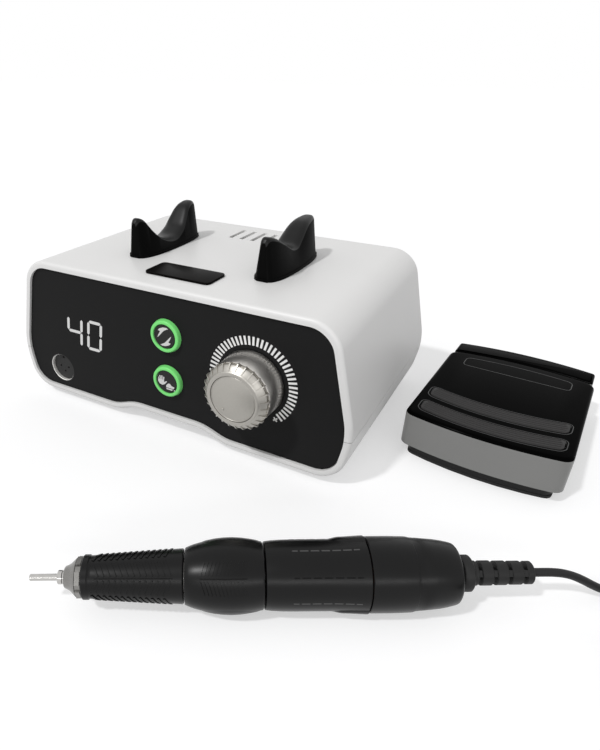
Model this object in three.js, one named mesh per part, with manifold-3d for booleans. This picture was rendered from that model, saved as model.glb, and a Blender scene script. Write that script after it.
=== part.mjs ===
// Dental laboratory micromotor set: a speed control unit, a foot pedal and a motor handpiece on its cord.
// Millimetres, +Z up. The control unit faces -Y. The set stands on one bench, at z = 0.
import * as THREE from 'three';
import { mergeVertices } from 'three/addons/utils/BufferGeometryUtils.js';
import Module from 'manifold-3d';

const wasm = await Module();
wasm.setup();

// Fits that every piece shares
const fit = {
  seat: 0.3, // air between two pieces that rest on each other
  running: 0.3, // air round a piece that turns or slides
  overrun: 2, // how far a cutter runs past the face that it opens
  sink: 0.6, // how far one shape of a piece reaches into the next, where they join
  weld: 0.0002, // points closer than this are one point
};
const turn = Math.PI * 2;
const degrees = Math.PI / 180;

// Where the three things stand on the bench, in the control unit's own frame
const pedalPlace = { x: 145, y: 86, angle: -4 * degrees };
const handpiecePlace = { x: 22.6, y: -113.4, angle: 31.39 * degrees };

const housing = {
  topZ: 77.8,
  bottomZ: 3.3,
  topHalfWidth: 84.2,
  waistHalfWidth: 96.2,
  waistZ: 28.4,
  bottomHalfWidth: 91.55,
  archHalfWidth: 20.5,
  archEndHalfWidth: 33,
  archRise: 4.6,
  topRadius: 15,
  waistRadius: 35,
  bottomRadius: 14,
  archRadius: 22,
  leastRadius: 1,
  depth: 122,
  wall: 3,
  rim: 3.4,
  frontEdge: 1.8,
  rearEdge: 8,
  partingZ: 26.2,
};
const frontPanel = {
  recess: 1.2,
  filmThickness: 0.6,
  thickness: 2.4,
  ledgeReach: 2.9,
  ledgeThickness: 2,
  postRadius: 2.4,
};
const rearPanel = {
  inset: 12,
  thickness: 2.4,
  recess: 0.9,
  ledgeReach: 3,
  ledgeThickness: 1.7,
};
const boss = {
  x: 74,
  frontY: 24,
  rearInset: 22,
  radius: 4.5,
  screwHoleRadius: 1.9,
  screwRadius: 1.5,
  headRadius: 3,
  headHoleRadius: 3.5,
  headHeight: 2.2,
  headTopZ: 10,
  screwLength: 28,
  pilotDepth: 14,
};
const foot = {
  x: 58,
  frontY: 18,
  rearInset: 18,
  radius: 6.5,
  edge: 0.7,
  pegRadius: 1.8,
  pegHeight: 4.4,
};
const vent = { pitch: 7.15, width: 1.8, length: 16.9, rearInset: 13.2 };
const ventCount = 5;

const button = {
  x: 1.5,
  upperZ: 54,
  lowerZ: 30,
  ringRadius: 8.8,
  ringBore: 6.8,
  ringProud: 1.5,
  barrelRadius: 7.9,
  barrelLength: 3.8,
  capRadius: 6.5,
  capProud: 1,
  capDish: 0.35,
  flangeRadius: 7.6,
  flangeThickness: 1,
  stemRadius: 2,
  stemLength: 1.2,
  travel: 1.2,
};
const tactSwitch = { width: 6.2, plungerRadius: 1.6, plungerHeight: 0.6 };

const display = { left: -66, right: -21, bottom: 31, top: 54.5, frontGap: 0.4 };
const displayBoard = {
  left: -66,
  right: 13,
  bottom: 27,
  top: 65,
  frontY: 13.6,
  thickness: 1.6,
  postInset: 3.4,
};

const knob = {
  x: 47.1,
  z: 41.8,
  standOff: 0.5,
  baseRadius: 15.2,
  neckRadius: 14.6,
  neckLength: 10,
  ridgeRadius: 15.5,
  ridgeBand: 1.6,
  slopeRadius: 12.6,
  slopeLength: 4.8,
  rimRadius: 12.1,
  rimLength: 1.3,
  rimEdge: 0.3,
  faceRadius: 11.2,
  faceThickness: 1.6,
  faceSink: 0.3,
  hollowRadius: 8.5,
  hollowDepth: 4.5,
  markRadius: 7.6,
  markSize: 0.9,
};
const knobMarkAngle = 232.5 * degrees;
const potentiometer = {
  bodyRadius: 8.2,
  bodyLength: 8,
  bushRadius: 3.6,
  bushProud: 2.6,
  nutRadius: 6,
  nutThickness: 2,
  shaftRadius: 3,
  shaftProud: 13.4,
  tail: 1.5,
};

const socket = {
  sideInset: 24.11,
  z: 18.2,
  barrelRadius: 8,
  bore: 7.65,
  proud: 0.1,
  length: 9.5,
  recess: 1.7,
  insertLength: 6,
  flangeHalfWidth: 11,
  flangeBelow: 3,
  flangeAbove: 11,
  flangeThickness: 1.6,
  pinHoleRadius: 0.65,
  pinCircle: 2.8,
  pinDepth: 5,
  keyWidth: 1.3,
  keyHeight: 2.5,
};
const socketPinAngles = [0, 180, 270];

const badge = {
  width: 38,
  length: 15.5,
  thickness: 1,
  corner: 2.5,
  y: 20.4,
  pinX: 12.7,
  pinRadius: 1,
  pinReach: 2,
};

const rest = {
  x: 37,
  length: 55,
  rearInset: 35,
  halfWidth: 6.5,
  endHalfWidth: 2.6,
  height: 21.8,
  draft: 1.9,
  flange: 0.8,
  flangeHeight: 1.1,
  crown: 2,
  pegRadius: 2.5,
  pegReach: 6,
};
const restFrontY = housing.depth - rest.rearInset - rest.length;
const restPegShares = [0.3, 0.75];
const restCrownShares = [-1, -0.7, 0, 0.7, 1];
// Crest of the rest, from front to rear: how far along it, and how high
const restCrestShares = [
  [0, 0.6],
  [0.02, 0.735],
  [0.05, 0.835],
  [0.1, 0.908],
  [0.175, 0.844],
  [0.265, 0.656],
  [0.355, 0.454],
  [0.445, 0.34],
  [0.535, 0.303],
  [0.62, 0.385],
  [0.665, 0.505],
  [0.715, 0.68],
  [0.785, 0.88],
  [0.855, 0.972],
  [0.93, 1],
  [0.985, 0.963],
  [1, 0.85],
];

const transformer = {
  x: -54,
  rearInset: 42,
  width: 40,
  coreDepth: 20,
  height: 34,
  windingWidth: 27,
  windingDepth: 38,
  windingHeight: 24,
};
const powerBoard = {
  left: -28,
  right: 68,
  length: 56,
  rearInset: 26,
  bottomZ: 16,
  thickness: 1.6,
  postInset: 4,
  postRadius: 3,
};
const capacitor = { radius: 6.2, height: 20, firstX: 2, spacing: 15, frontInset: 18 };
const capacitorCount = 2;
const heatSink = { x: 48, frontInset: 42, width: 32, depth: 9, height: 26 };

const inlet = {
  x: -46,
  z: 40,
  flangeWidth: 30,
  flangeHeight: 23,
  flangeThickness: 2,
  bodyWidth: 26,
  bodyHeight: 19,
  bodyDepth: 18,
  wellWidth: 22,
  wellHeight: 15,
  wellDepth: 13,
  pinWidth: 2,
  pinHeight: 4.5,
  pinPitch: 6.5,
  pinLength: 10,
};
const rocker = {
  x: -4,
  z: 40,
  flangeWidth: 17,
  flangeHeight: 24,
  flangeThickness: 2,
  bodyWidth: 13,
  bodyHeight: 20,
  bodyDepth: 14,
  wellWidth: 10.6,
  wellHeight: 17.6,
  wellDepth: 8,
  halfLength: 7.9,
  endHeight: 3,
  middleHeight: 1.7,
  rootHalfLength: 2.6,
  rootDepth: 3,
  pinRadius: 1,
  pinReach: 0.7,
};
const rockerTilt = 10 * degrees;
const contactAngles = [90, 210, 330];
const footSocket = {
  x: 44,
  z: 40,
  flangeRadius: 9,
  flangeThickness: 1.6,
  barrelRadius: 7.6,
  depth: 14,
  wellRadius: 5.6,
  wellDepth: 9,
  pinRadius: 0.9,
  pinCircle: 2.6,
  pinLength: 4,
};

const pedal = {
  width: 71,
  length: 100,
  height: 24,
  endBulge: 4,
  corner: 4,
  edge: 1.5,
  rearLength: 12.5,
  rearNarrow: 1.2,
  wall: 2.4,
  skirtZ: 6.6,
  soleThickness: 1.4,
  baseInset: 3.3,
  baseFloor: 2.6,
  baseWallZ: 14,
  pivotFromStep: 4,
  pivotZ: 12.5,
  pinRadius: 1.6,
};
const pedalTravel = 3 * degrees;
const pedalEdgeShare = 0.3; // of the top edge's rounding, where its middle facet turns
const grip = {
  width: 61,
  depth: 8.6,
  corner: 2.2,
  bulge: 4.6,
  frontOffset: 10.5,
  pitch: 15.2,
  sink: 1,
  proud: 0.5,
};
const pedalSwitch = { width: 20, depth: 6.4, height: 10, y: -18 };
const pedalSpring = { x: 0, y: -2, radius: 4.6, wire: 1.2 };
const pedalSpringTurns = 5;
const pedalSpringSteps = 8;
const pedalSpringSides = 5;

// Handpiece: radii and stations along its axis, from the tip of the shank to the end of the strain relief
const shank = { radius: 1.175, tip: 0, end: 26 };
const collet = { radius: 2.2, lipRadius: 2.4, front: 9.7, rear: 30 };
const nose = {
  front: 12.2,
  frontRadius: 3.5,
  bandRadius: 4.1,
  bandEnd: 14.7,
  coneRadius: 6.6,
  coneEnd: 18.2,
  sleeveRadius: 5.4,
  bore: 2.9,
  bearingBore: 4.3,
  bearingFront: 26,
  rear: 54,
};
const sleeve = {
  lip: 7.5,
  lipFront: 18.5,
  lipEnd: 20.8,
  frontRadius: 7.15,
  rear: 52.7,
  rearRadius: 9.2,
};
const lockRing = {
  front: 53.1,
  frontRadius: 9.4,
  shoulder: 56,
  shoulderRadius: 10.6,
  crest: 68,
  crestRadius: 12.65,
  rear: 79.5,
  rearRadius: 11.3,
  bore: 7.9,
};
// Swell of the ring's front flank and of its tail: how far along, and how far out or in
const lockRingFlankShares = [
  [0.32, 0.55],
  [0.6, 0.84],
];
const lockRingTailShares = { along: 0.6, inwards: 0.4 };
const motorCase = {
  front: 80,
  frontRadius: 11.3,
  frontLength: 7,
  waistRadius: 11.85,
  waistLength: 14,
  bulgeLength: 3.5,
  bulgeRadius: 12.65,
  rearRadius: 13,
  rear: 114.5,
  wall: 2,
  noseRadius: 7.5,
  noseLength: 22,
};
const rearCap = {
  front: 114.8,
  frontRadius: 12.75,
  bandRadius: 12.3,
  bandRear: 132.6,
  shoulder: 141,
  shoulderRadius: 11.3,
  rear: 145.4,
  rearRadius: 10.1,
  wall: 2,
  endWall: 2.6,
  spigotLength: 4,
  spigotRadius: 10.6,
  cordHole: 3.6,
};
const relief = {
  neck: 145.7,
  neckRadius: 5.6,
  collar: 147,
  collarRadius: 6.2,
  collarEnd: 150.7,
  blockRadius: 4.2,
  lastBlockRadius: 3.9,
  blockPitch: 4.9,
  blockLength: 3.6,
  blockCount: 5,
  coreRadius: 2.1,
  end: 172,
  root: 142.5,
  rootRadius: 3.3,
  flangeRadius: 5,
  flangeLength: 1.4,
};
const spindle = { radius: 2.4, rear: 138 };
const bearing = { outer: 4, width: 4, frontY: 46, rearY: 131, rearOuter: 5.5 };
const rotor = { radius: 6.2, front: 88, rear: 124 };
const stator = { outer: 9.5, inner: 6.9, front: 86, rear: 126 };

const cord = { radius: 1.5 };
const cordSides = 8;
const cordSteps = 12;
const coilSides = 6;
// Route of the free stretch in the handpiece's frame: along its axis, across it, height above the bench
const cordRoute = [
  [172.3, 0, 13],
  [176, 0, 13],
  [180, 0, 12.9],
  [184, 0, 12.3],
  [188, 0, 10.9],
  [192, 0, 8.8],
  [196, 0, 6.4],
  [200, 0, 4.3],
  [204, 0, 2.9],
  [208, 0, 2.2],
  [212, 0, 2],
  [216, 0, 2.1],
  [220, 0, 2.3],
  [223, 0, 2.4],
  [226, 0, 2.4],
  [229, 0, 2.4],
];
const coil = {
  entryX: 229.3,
  outerRadius: 22.9,
  pitch: 3.5,
  bottomZ: 2.4,
  tail: 22,
  tailSlip: 3.4,
};
const coilClimbShare = 0.25; // of a turn, on each side of where the spiral reverses
const coilTailShares = { slipEnd: 0.7, riseStart: 0.25, riseEnd: 0.85 };
const coilLayers = 4;
const coilTurns = 13.5;
const coilSteps = 24;
const tie = { width: 7, thickness: 0.55, clearance: 0.35 };
const plug = {
  radius: 8.6,
  length: 18,
  gripRadius: 8.2,
  gripStart: 3,
  gripEnd: 12,
  tipLength: 3,
  reliefRadius: 2.6,
  reliefLength: 7,
  reliefEndRadius: 3.4,
  pinRadius: 0.45,
  pinLength: 4.6,
};

// Facets of round things, and steps of rounded edges and corners
const round = { fine: 24, medium: 20, coarse: 12, small: 8, tiny: 6 };
const edgeSteps = { front: 2, rear: 3, badge: 4 };

function paint(color, roughness, metalness = 0) {
  return new THREE.MeshStandardMaterial({ color, roughness, metalness });
}
const finish = {
  whitePlastic: paint(0xdddcdb, 0.45),
  blackPlastic: paint(0x1c1c1c, 0.4),
  glossBlack: paint(0x060606, 0.15),
  panelFilm: paint(0x222222, 0.5),
  rubber: paint(0x242424, 0.8),
  nickel: paint(0xa8a49d, 0.3, 1),
  steel: paint(0xc4c2bd, 0.25, 1),
  copper: paint(0xb06a35, 0.4, 1),
  iron: paint(0x5a5a5c, 0.5, 0.8),
  greenRing: paint(0x7de17d, 0.4),
  circuitBoard: paint(0x1f5a38, 0.6),
  whiteNylon: paint(0xd8d4c8, 0.5),
};

// Turns a closed geometry into a solid that can be joined and cut
function toSolid(geometry) {
  const bare = geometry.clone();
  for (const name of Object.keys(bare.attributes)) {
    if (name !== 'position') bare.deleteAttribute(name);
  }
  const merged = mergeVertices(bare, fit.weld);
  const points = merged.attributes.position.array;
  const corners = merged.index.array;
  const faces = [];
  let volume = 0;
  const a = new THREE.Vector3();
  const b = new THREE.Vector3();
  const c = new THREE.Vector3();
  for (let i = 0; i < corners.length; i += 3) {
    const [p, q, r] = [corners[i], corners[i + 1], corners[i + 2]];
    if (p === q || q === r || r === p) continue;
    a.fromArray(points, 3 * p);
    b.fromArray(points, 3 * q);
    c.fromArray(points, 3 * r);
    volume += a.dot(b.cross(c));
    faces.push(p, q, r);
  }
  if (volume < 0) {
    for (let i = 0; i < faces.length; i += 3) {
      [faces[i], faces[i + 1]] = [faces[i + 1], faces[i]];
    }
  }
  const mesh = { numProp: 3, vertProperties: Float32Array.from(points), triVerts: Uint32Array.from(faces) };
  return new wasm.Manifold(new wasm.Mesh(mesh));
}

function toGeometry(solid) {
  const mesh = solid.getMesh();
  const geometry = new THREE.BufferGeometry();
  geometry.setAttribute('position', new THREE.BufferAttribute(mesh.vertProperties, 3));
  geometry.setIndex(new THREE.BufferAttribute(mesh.triVerts, 1));
  return geometry;
}

function join(first, ...others) {
  return toGeometry(others.reduce((sum, other) => sum.add(toSolid(other)), toSolid(first)));
}

function cut(base, ...tools) {
  return toGeometry(tools.reduce((left, tool) => left.subtract(toSolid(tool)), toSolid(base)));
}

function common(first, second) {
  return toGeometry(toSolid(first).intersect(toSolid(second)));
}

// A box between two limits on each axis
function block([x0, x1], [y0, y1], [z0, z1]) {
  const box = new THREE.BoxGeometry(x1 - x0, y1 - y0, z1 - z0);
  return box.translate((x0 + x1) / 2, (y0 + y1) / 2, (z0 + z1) / 2);
}

// A turned solid about the Y axis, from [radius, station] pairs
function turned(profile, segments) {
  const points = profile.map(([radius, station]) => new THREE.Vector2(radius, station));
  return new THREE.LatheGeometry(points, segments);
}

// A plain rod about the Y axis
function rod(radius, from, to, segments = round.coarse) {
  return turned([[0, from], [radius, from], [radius, to], [0, to]], segments);
}

// A turned ring about the Y axis, from a profile that closes on itself
function ring(profile, segments) {
  return turned([...profile, profile[0]], segments);
}

// Where a pin stands on a circle about the Y axis, as x, y and z
function onCircle(radius, angle) {
  return [radius * Math.cos(angle * degrees), 0, radius * Math.sin(angle * degrees)];
}

const standing = (geometry) => geometry.rotateX(Math.PI / 2);
const lying = (geometry) => geometry.rotateZ(-Math.PI / 2);

const alongY = (u, v, h) => new THREE.Vector3(u, h, v);
const alongZ = (u, v, h) => new THREE.Vector3(u, v, h);
const alongX = (u, v, h) => new THREE.Vector3(h, u, v);

// A closed body through outlines of equal point count, stacked along one axis
function loft(stack, place) {
  const clockwise = THREE.ShapeUtils.isClockWise(stack[0].outline);
  const levels = clockwise
    ? stack.map(({ outline, at }) => ({ outline: [...outline].reverse(), at }))
    : stack;
  const count = levels[0].outline.length;
  const points = levels.flatMap(({ outline, at }) => outline.map((p) => place(p.x, p.y, at)));
  const faces = [];
  for (let k = 0; k + 1 < levels.length; k += 1) {
    for (let i = 0; i < count; i += 1) {
      const next = (i + 1) % count;
      const [a, b] = [k * count + i, k * count + next];
      const [c, d] = [b + count, a + count];
      faces.push(a, c, b, a, d, c);
    }
  }
  const last = (levels.length - 1) * count;
  const lid = THREE.ShapeUtils.triangulateShape(levels[0].outline, []);
  const floor = THREE.ShapeUtils.triangulateShape(levels[levels.length - 1].outline, []);
  lid.forEach(([a, b, c]) => faces.push(a, b, c));
  floor.forEach(([a, b, c]) => faces.push(last + a, last + c, last + b));
  const geometry = new THREE.BufferGeometry().setFromPoints(points);
  geometry.setIndex(faces);
  return geometry;
}

function prism(outline, from, to, place) {
  return loft([{ outline, at: from }, { outline, at: to }], place);
}

// Moves each side of an outline inwards and trims its corner radii to match
function insetCorners(corners, inset) {
  const count = corners.length;
  const point = (i) => new THREE.Vector2(corners[(i + count) % count].x, corners[(i + count) % count].y);
  return corners.map((corner, i) => {
    const into = point(i).sub(point(i - 1)).normalize();
    const out = point(i + 1).sub(point(i)).normalize();
    const bend = into.cross(out);
    const offset = new THREE.Vector2(out.x - into.x, out.y - into.y).multiplyScalar(inset / bend);
    const radius = bend > 0 ? corner.radius - inset : corner.radius + inset;
    return { ...corner, x: corner.x + offset.x, y: corner.y + offset.y, radius };
  });
}

// Rounds the corners of an outline with arcs
function roundCorners(corners, leastRadius) {
  const count = corners.length;
  return corners.flatMap((corner, i) => {
    const at = new THREE.Vector2(corner.x, corner.y);
    if (corner.steps === 0) return [at];
    const before = corners[(i + count - 1) % count];
    const after = corners[(i + 1) % count];
    const back = new THREE.Vector2(before.x, before.y).sub(at).normalize();
    const ahead = new THREE.Vector2(after.x, after.y).sub(at).normalize();
    const half = Math.acos(THREE.MathUtils.clamp(back.dot(ahead), -1, 1)) / 2;
    const radius = Math.max(corner.radius, leastRadius);
    const middle = back.clone().add(ahead).normalize();
    const centre = middle.clone().multiplyScalar(radius / Math.sin(half)).add(at);
    const first = back.clone().multiplyScalar(radius / Math.tan(half)).add(at).sub(centre);
    const last = ahead.clone().multiplyScalar(radius / Math.tan(half)).add(at).sub(centre);
    const sweep = Math.atan2(first.cross(last), first.dot(last));
    const origin = new THREE.Vector2();
    return Array.from({ length: corner.steps + 1 }, (_, k) => {
      return first.clone().rotateAround(origin, (sweep * k) / corner.steps).add(centre);
    });
  });
}

function rectangle(width, height, radius, steps) {
  const [x, y] = [width / 2, height / 2];
  return roundCorners(
    [[x, -y], [x, y], [-x, y], [-x, -y]].map(([u, v]) => ({ x: u, y: v, radius, steps })),
    0,
  );
}

// A tube of few sides along a list of points
function tube(path, radius, sides) {
  const rings = [];
  let side = new THREE.Vector3(0, 0, 1);
  path.forEach((at, i) => {
    const before = path[Math.max(i - 1, 0)];
    const after = path[Math.min(i + 1, path.length - 1)];
    const ahead = after.clone().sub(before).normalize();
    side = side.clone().addScaledVector(ahead, -side.dot(ahead)).normalize();
    const across = new THREE.Vector3().crossVectors(ahead, side);
    for (let k = 0; k < sides; k += 1) {
      const angle = (turn * (k + 0.5)) / sides;
      const reach = side.clone().multiplyScalar(Math.cos(angle)).addScaledVector(across, Math.sin(angle));
      rings.push(at.clone().addScaledVector(reach, radius));
    }
  });
  const faces = [];
  for (let i = 0; i + 1 < path.length; i += 1) {
    for (let k = 0; k < sides; k += 1) {
      const next = (k + 1) % sides;
      const [a, b] = [i * sides + k, i * sides + next];
      faces.push(a, b, b + sides, a, b + sides, a + sides);
    }
  }
  const last = (path.length - 1) * sides;
  for (let k = 1; k + 1 < sides; k += 1) {
    faces.push(0, k + 1, k, last, last + k, last + k + 1);
  }
  const geometry = new THREE.BufferGeometry().setFromPoints(rings);
  geometry.setIndex(faces);
  return geometry;
}

const set = new THREE.Group();
const unit = new THREE.Group();
const pedalGroup = new THREE.Group();
const handpieceGroup = new THREE.Group();
pedalGroup.position.set(pedalPlace.x, pedalPlace.y, 0);
pedalGroup.rotation.z = pedalPlace.angle;
handpieceGroup.position.set(handpiecePlace.x, handpiecePlace.y, 0);
handpieceGroup.rotation.z = handpiecePlace.angle;
set.add(unit, pedalGroup, handpieceGroup);

function piece(group, name, geometry, material) {
  const mesh = new THREE.Mesh(toGeometry(toSolid(geometry)), material);
  mesh.name = name;
  group.add(mesh);
  return mesh;
}

// Section of the housing, seen from the front: leaning sides, a waist, and a low arch between two lobes
function housingOutline(inset) {
  const right = [
    { x: housing.archEndHalfWidth, y: housing.bottomZ, radius: housing.archRadius, steps: 2 },
    { x: housing.bottomHalfWidth, y: housing.bottomZ, radius: housing.bottomRadius, steps: 4 },
    { x: housing.waistHalfWidth, y: housing.waistZ, radius: housing.waistRadius, steps: 3 },
    { x: housing.topHalfWidth, y: housing.topZ, radius: housing.topRadius, steps: 6 },
  ];
  const archZ = housing.bottomZ + housing.archRise;
  const arch = { x: housing.archHalfWidth, y: archZ, radius: housing.archRadius, steps: 2 };
  const rightSide = [arch, ...right];
  const leftSide = rightSide.map((corner) => ({ ...corner, x: -corner.x })).reverse();
  return roundCorners(insetCorners([...rightSide, ...leftSide], inset), housing.leastRadius);
}

function roundedEnd(at, inwards, radius, steps) {
  return Array.from({ length: steps + 1 }, (_, k) => {
    const angle = (k / steps) * (Math.PI / 2);
    const depth = radius * (1 - Math.cos(angle));
    return { outline: housingOutline(radius * (1 - Math.sin(angle))), at: at + inwards * depth };
  });
}

const filmBackY = frontPanel.recess + frontPanel.filmThickness;
const panelFrontY = filmBackY + fit.seat;
const panelBackY = panelFrontY + frontPanel.thickness;
const ledgeY = panelBackY + fit.seat;
const ledgeBackY = ledgeY + frontPanel.ledgeThickness;
const rearPanelBackY = housing.depth - rearPanel.recess;
const rearPanelFrontY = rearPanelBackY - rearPanel.thickness;
const rearLedgeY = rearPanelFrontY - fit.seat;
const cavityEndY = rearLedgeY - rearPanel.ledgeThickness;
const floorZ = housing.bottomZ + housing.wall;

const housingBlock = loft(
  [
    ...roundedEnd(0, 1, housing.frontEdge, edgeSteps.front),
    ...roundedEnd(housing.depth, -1, housing.rearEdge, edgeSteps.rear).reverse(),
  ],
  alongY,
);

function openedHousing() {
  const frontLedge = housingOutline(housing.rim + frontPanel.ledgeReach);
  const rearLedge = housingOutline(rearPanel.inset + rearPanel.ledgeReach);
  return cut(
    housingBlock,
    prism(housingOutline(housing.rim), -fit.overrun, ledgeY, alongY),
    prism(frontLedge, 0, housing.depth / 2, alongY),
    prism(housingOutline(housing.wall), ledgeBackY, cavityEndY, alongY),
    prism(rearLedge, housing.depth / 2, housing.depth, alongY),
    prism(housingOutline(rearPanel.inset), rearLedgeY, housing.depth + fit.overrun, alongY),
  );
}

// Four places, the same on both sides, near the front and the rear of the housing
function fourPlaces(item) {
  const rows = [item.frontY, housing.depth - item.rearInset];
  return [-1, 1].flatMap((side) => rows.map((y) => [side * item.x, y]));
}

// Half width of the housing at a height below its waist
function sideHalfWidth(z) {
  const share = (z - housing.bottomZ) / (housing.waistZ - housing.bottomZ);
  return blend(housing.bottomHalfWidth, housing.waistHalfWidth, share);
}

const socketX = socket.sideInset - sideHalfWidth(socket.z);
const bossPlaces = fourPlaces(boss);
const footPlaces = fourPlaces(foot);
const bottomTopZ = housing.partingZ - fit.seat;

function post(radius, x, y, from, to, segments = round.small) {
  return standing(rod(radius, from, to, segments)).translate(x, y, 0);
}

function shells() {
  const open = openedHousing();
  const wide = housing.waistHalfWidth + fit.overrun;
  const along = [-fit.overrun, housing.depth + fit.overrun];
  const upper = common(open, block([-wide, wide], along, [housing.partingZ, housing.topZ + fit.overrun]));
  const lower = common(open, block([-wide, wide], along, [0, bottomTopZ]));

  const roofZ = housing.topZ - housing.wall;
  const topPosts = bossPlaces.map(([x, y]) => post(boss.radius, x, y, housing.partingZ, roofZ + fit.sink));
  const pilotZ = housing.partingZ + boss.pilotDepth;
  const pilots = bossPlaces.map(([x, y]) => {
    return post(boss.screwHoleRadius, x, y, housing.partingZ - fit.overrun, pilotZ, round.tiny);
  });
  const firstVent = (-(ventCount - 1) * vent.pitch) / 2;
  const ventRearY = housing.depth - vent.rearInset;
  const vents = Array.from({ length: ventCount }, (_, i) => {
    const x = firstVent + i * vent.pitch;
    const across = [x - vent.width / 2, x + vent.width / 2];
    const slotY = [ventRearY - vent.length, ventRearY];
    return block(across, slotY, [roofZ - fit.overrun, housing.topZ + fit.overrun]);
  });
  const pegHoles = restPegs().map(([x, y]) => {
    return post(rest.pegRadius + fit.seat, x, y, roofZ - fit.overrun, housing.topZ + fit.overrun);
  });
  const throughRoof = [roofZ - fit.overrun, housing.topZ + fit.overrun];
  const badgeHoles = badgePins().map(([x, y]) => {
    return post(badge.pinRadius + fit.seat, x, y, ...throughRoof, round.tiny);
  });
  const top = cut(join(upper, ...topPosts), ...pilots, ...vents, ...pegHoles, ...badgeHoles);

  const bottomPosts = bossPlaces.map(([x, y]) => post(boss.radius, x, y, housing.bottomZ, bottomTopZ));
  const boardPosts = boardPostPlaces().map(([x, y]) => {
    return post(powerBoard.postRadius, x, y, housing.bottomZ, powerBoard.bottomZ - fit.seat);
  });
  const grown = join(lower, ...[...bottomPosts, ...boardPosts].map((shape) => common(shape, housingBlock)));
  const screwHoles = bossPlaces.flatMap(([x, y]) => [
    post(boss.screwHoleRadius, x, y, 0, housing.partingZ, round.tiny),
    post(boss.headHoleRadius, x, y, 0, boss.headTopZ, round.small),
  ]);
  const footHoles = footPlaces.map(([x, y]) => post(foot.pegRadius + fit.seat, x, y, 0, floorZ + fit.sink));
  const bottom = cut(grown, ...screwHoles, ...footHoles);
  piece(unit, 'top_shell', top, finish.whitePlastic);
  piece(unit, 'bottom_shell', bottom, finish.whitePlastic);
}

const boardRearY = housing.depth - powerBoard.rearInset;
const boardFrontY = boardRearY - powerBoard.length;

function boardPostPlaces() {
  const inset = powerBoard.postInset;
  return [powerBoard.left + inset, powerBoard.right - inset].flatMap((x) => {
    return [boardFrontY + inset, boardRearY - inset].map((y) => [x, y]);
  });
}

function restPegs() {
  return [-1, 1].flatMap((side) => {
    return restPegShares.map((share) => [side * rest.x, restFrontY + share * rest.length]);
  });
}

function badgePins() {
  return [-1, 1].map((side) => [side * badge.pinX, badge.y]);
}

function screwsAndFeet() {
  const headZ = boss.headTopZ - fit.seat;
  bossPlaces.forEach(([x, y], i) => {
    const screw = turned(
      [
        [0, headZ - boss.headHeight],
        [boss.headRadius, headZ - boss.headHeight],
        [boss.headRadius, headZ],
        [boss.screwRadius, headZ],
        [boss.screwRadius, headZ + boss.screwLength],
        [0, headZ + boss.screwLength],
      ],
      round.small,
    );
    piece(unit, `housing_screw_${i + 1}`, standing(screw).translate(x, y, 0), finish.steel);
  });
  footPlaces.forEach(([x, y], i) => {
    const topZ = housing.bottomZ - fit.seat;
    const pad = turned(
      [
        [0, 0],
        [foot.radius - foot.edge, 0],
        [foot.radius, foot.edge],
        [foot.radius, topZ],
        [foot.pegRadius, topZ],
        [foot.pegRadius, topZ + foot.pegHeight],
        [0, topZ + foot.pegHeight],
      ],
      round.coarse,
    );
    piece(unit, `rubber_foot_${i + 1}`, standing(pad).translate(x, y, 0), finish.rubber);
  });
}

const buttonPlaces = { direction: button.upperZ, mode: button.lowerZ };

function frontPanels() {
  const outline = housingOutline(housing.rim + fit.seat);
  const holes = (clear) => [
    ...Object.values(buttonPlaces).map((z) => {
      return rod(button.barrelRadius + clear, 0, housing.depth, round.medium).translate(button.x, 0, z);
    }),
    rod(potentiometer.bushRadius + clear, 0, housing.depth).translate(knob.x, 0, knob.z),
    rod(socket.barrelRadius + clear, 0, housing.depth, round.fine).translate(socketX, 0, socket.z),
  ];
  const film = cut(prism(outline, frontPanel.recess, filmBackY, alongY), ...holes(fit.seat));
  piece(unit, 'panel_film', film, finish.panelFilm);

  const window = block(
    [display.left - fit.seat, display.right + fit.seat],
    [0, housing.depth],
    [display.bottom - fit.seat, display.top + fit.seat],
  );
  const toBoard = [panelBackY - fit.sink, displayBoard.frontY - fit.seat];
  const posts = displayPosts().map(([x, z]) => {
    return rod(frontPanel.postRadius, ...toBoard, round.small).translate(x, 0, z);
  });
  const plate = join(prism(outline, panelFrontY, panelBackY, alongY), ...posts);
  piece(unit, 'front_panel', cut(plate, window, ...holes(fit.seat)), finish.blackPlastic);
}

function displayPosts() {
  const inset = displayBoard.postInset;
  return [
    [displayBoard.left + inset, displayBoard.top - inset],
    [displayBoard.right - inset, displayBoard.top - inset],
    [display.right + inset, displayBoard.bottom + inset],
  ];
}

function displayAndBoard() {
  const board = block(
    [displayBoard.left, displayBoard.right],
    [displayBoard.frontY, displayBoard.frontY + displayBoard.thickness],
    [displayBoard.bottom, displayBoard.top],
  );
  const digits = block(
    [display.left, display.right],
    [filmBackY + display.frontGap, displayBoard.frontY + fit.sink],
    [display.bottom, display.top],
  );
  piece(unit, 'display_board', join(board, digits), finish.circuitBoard);
}

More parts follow.
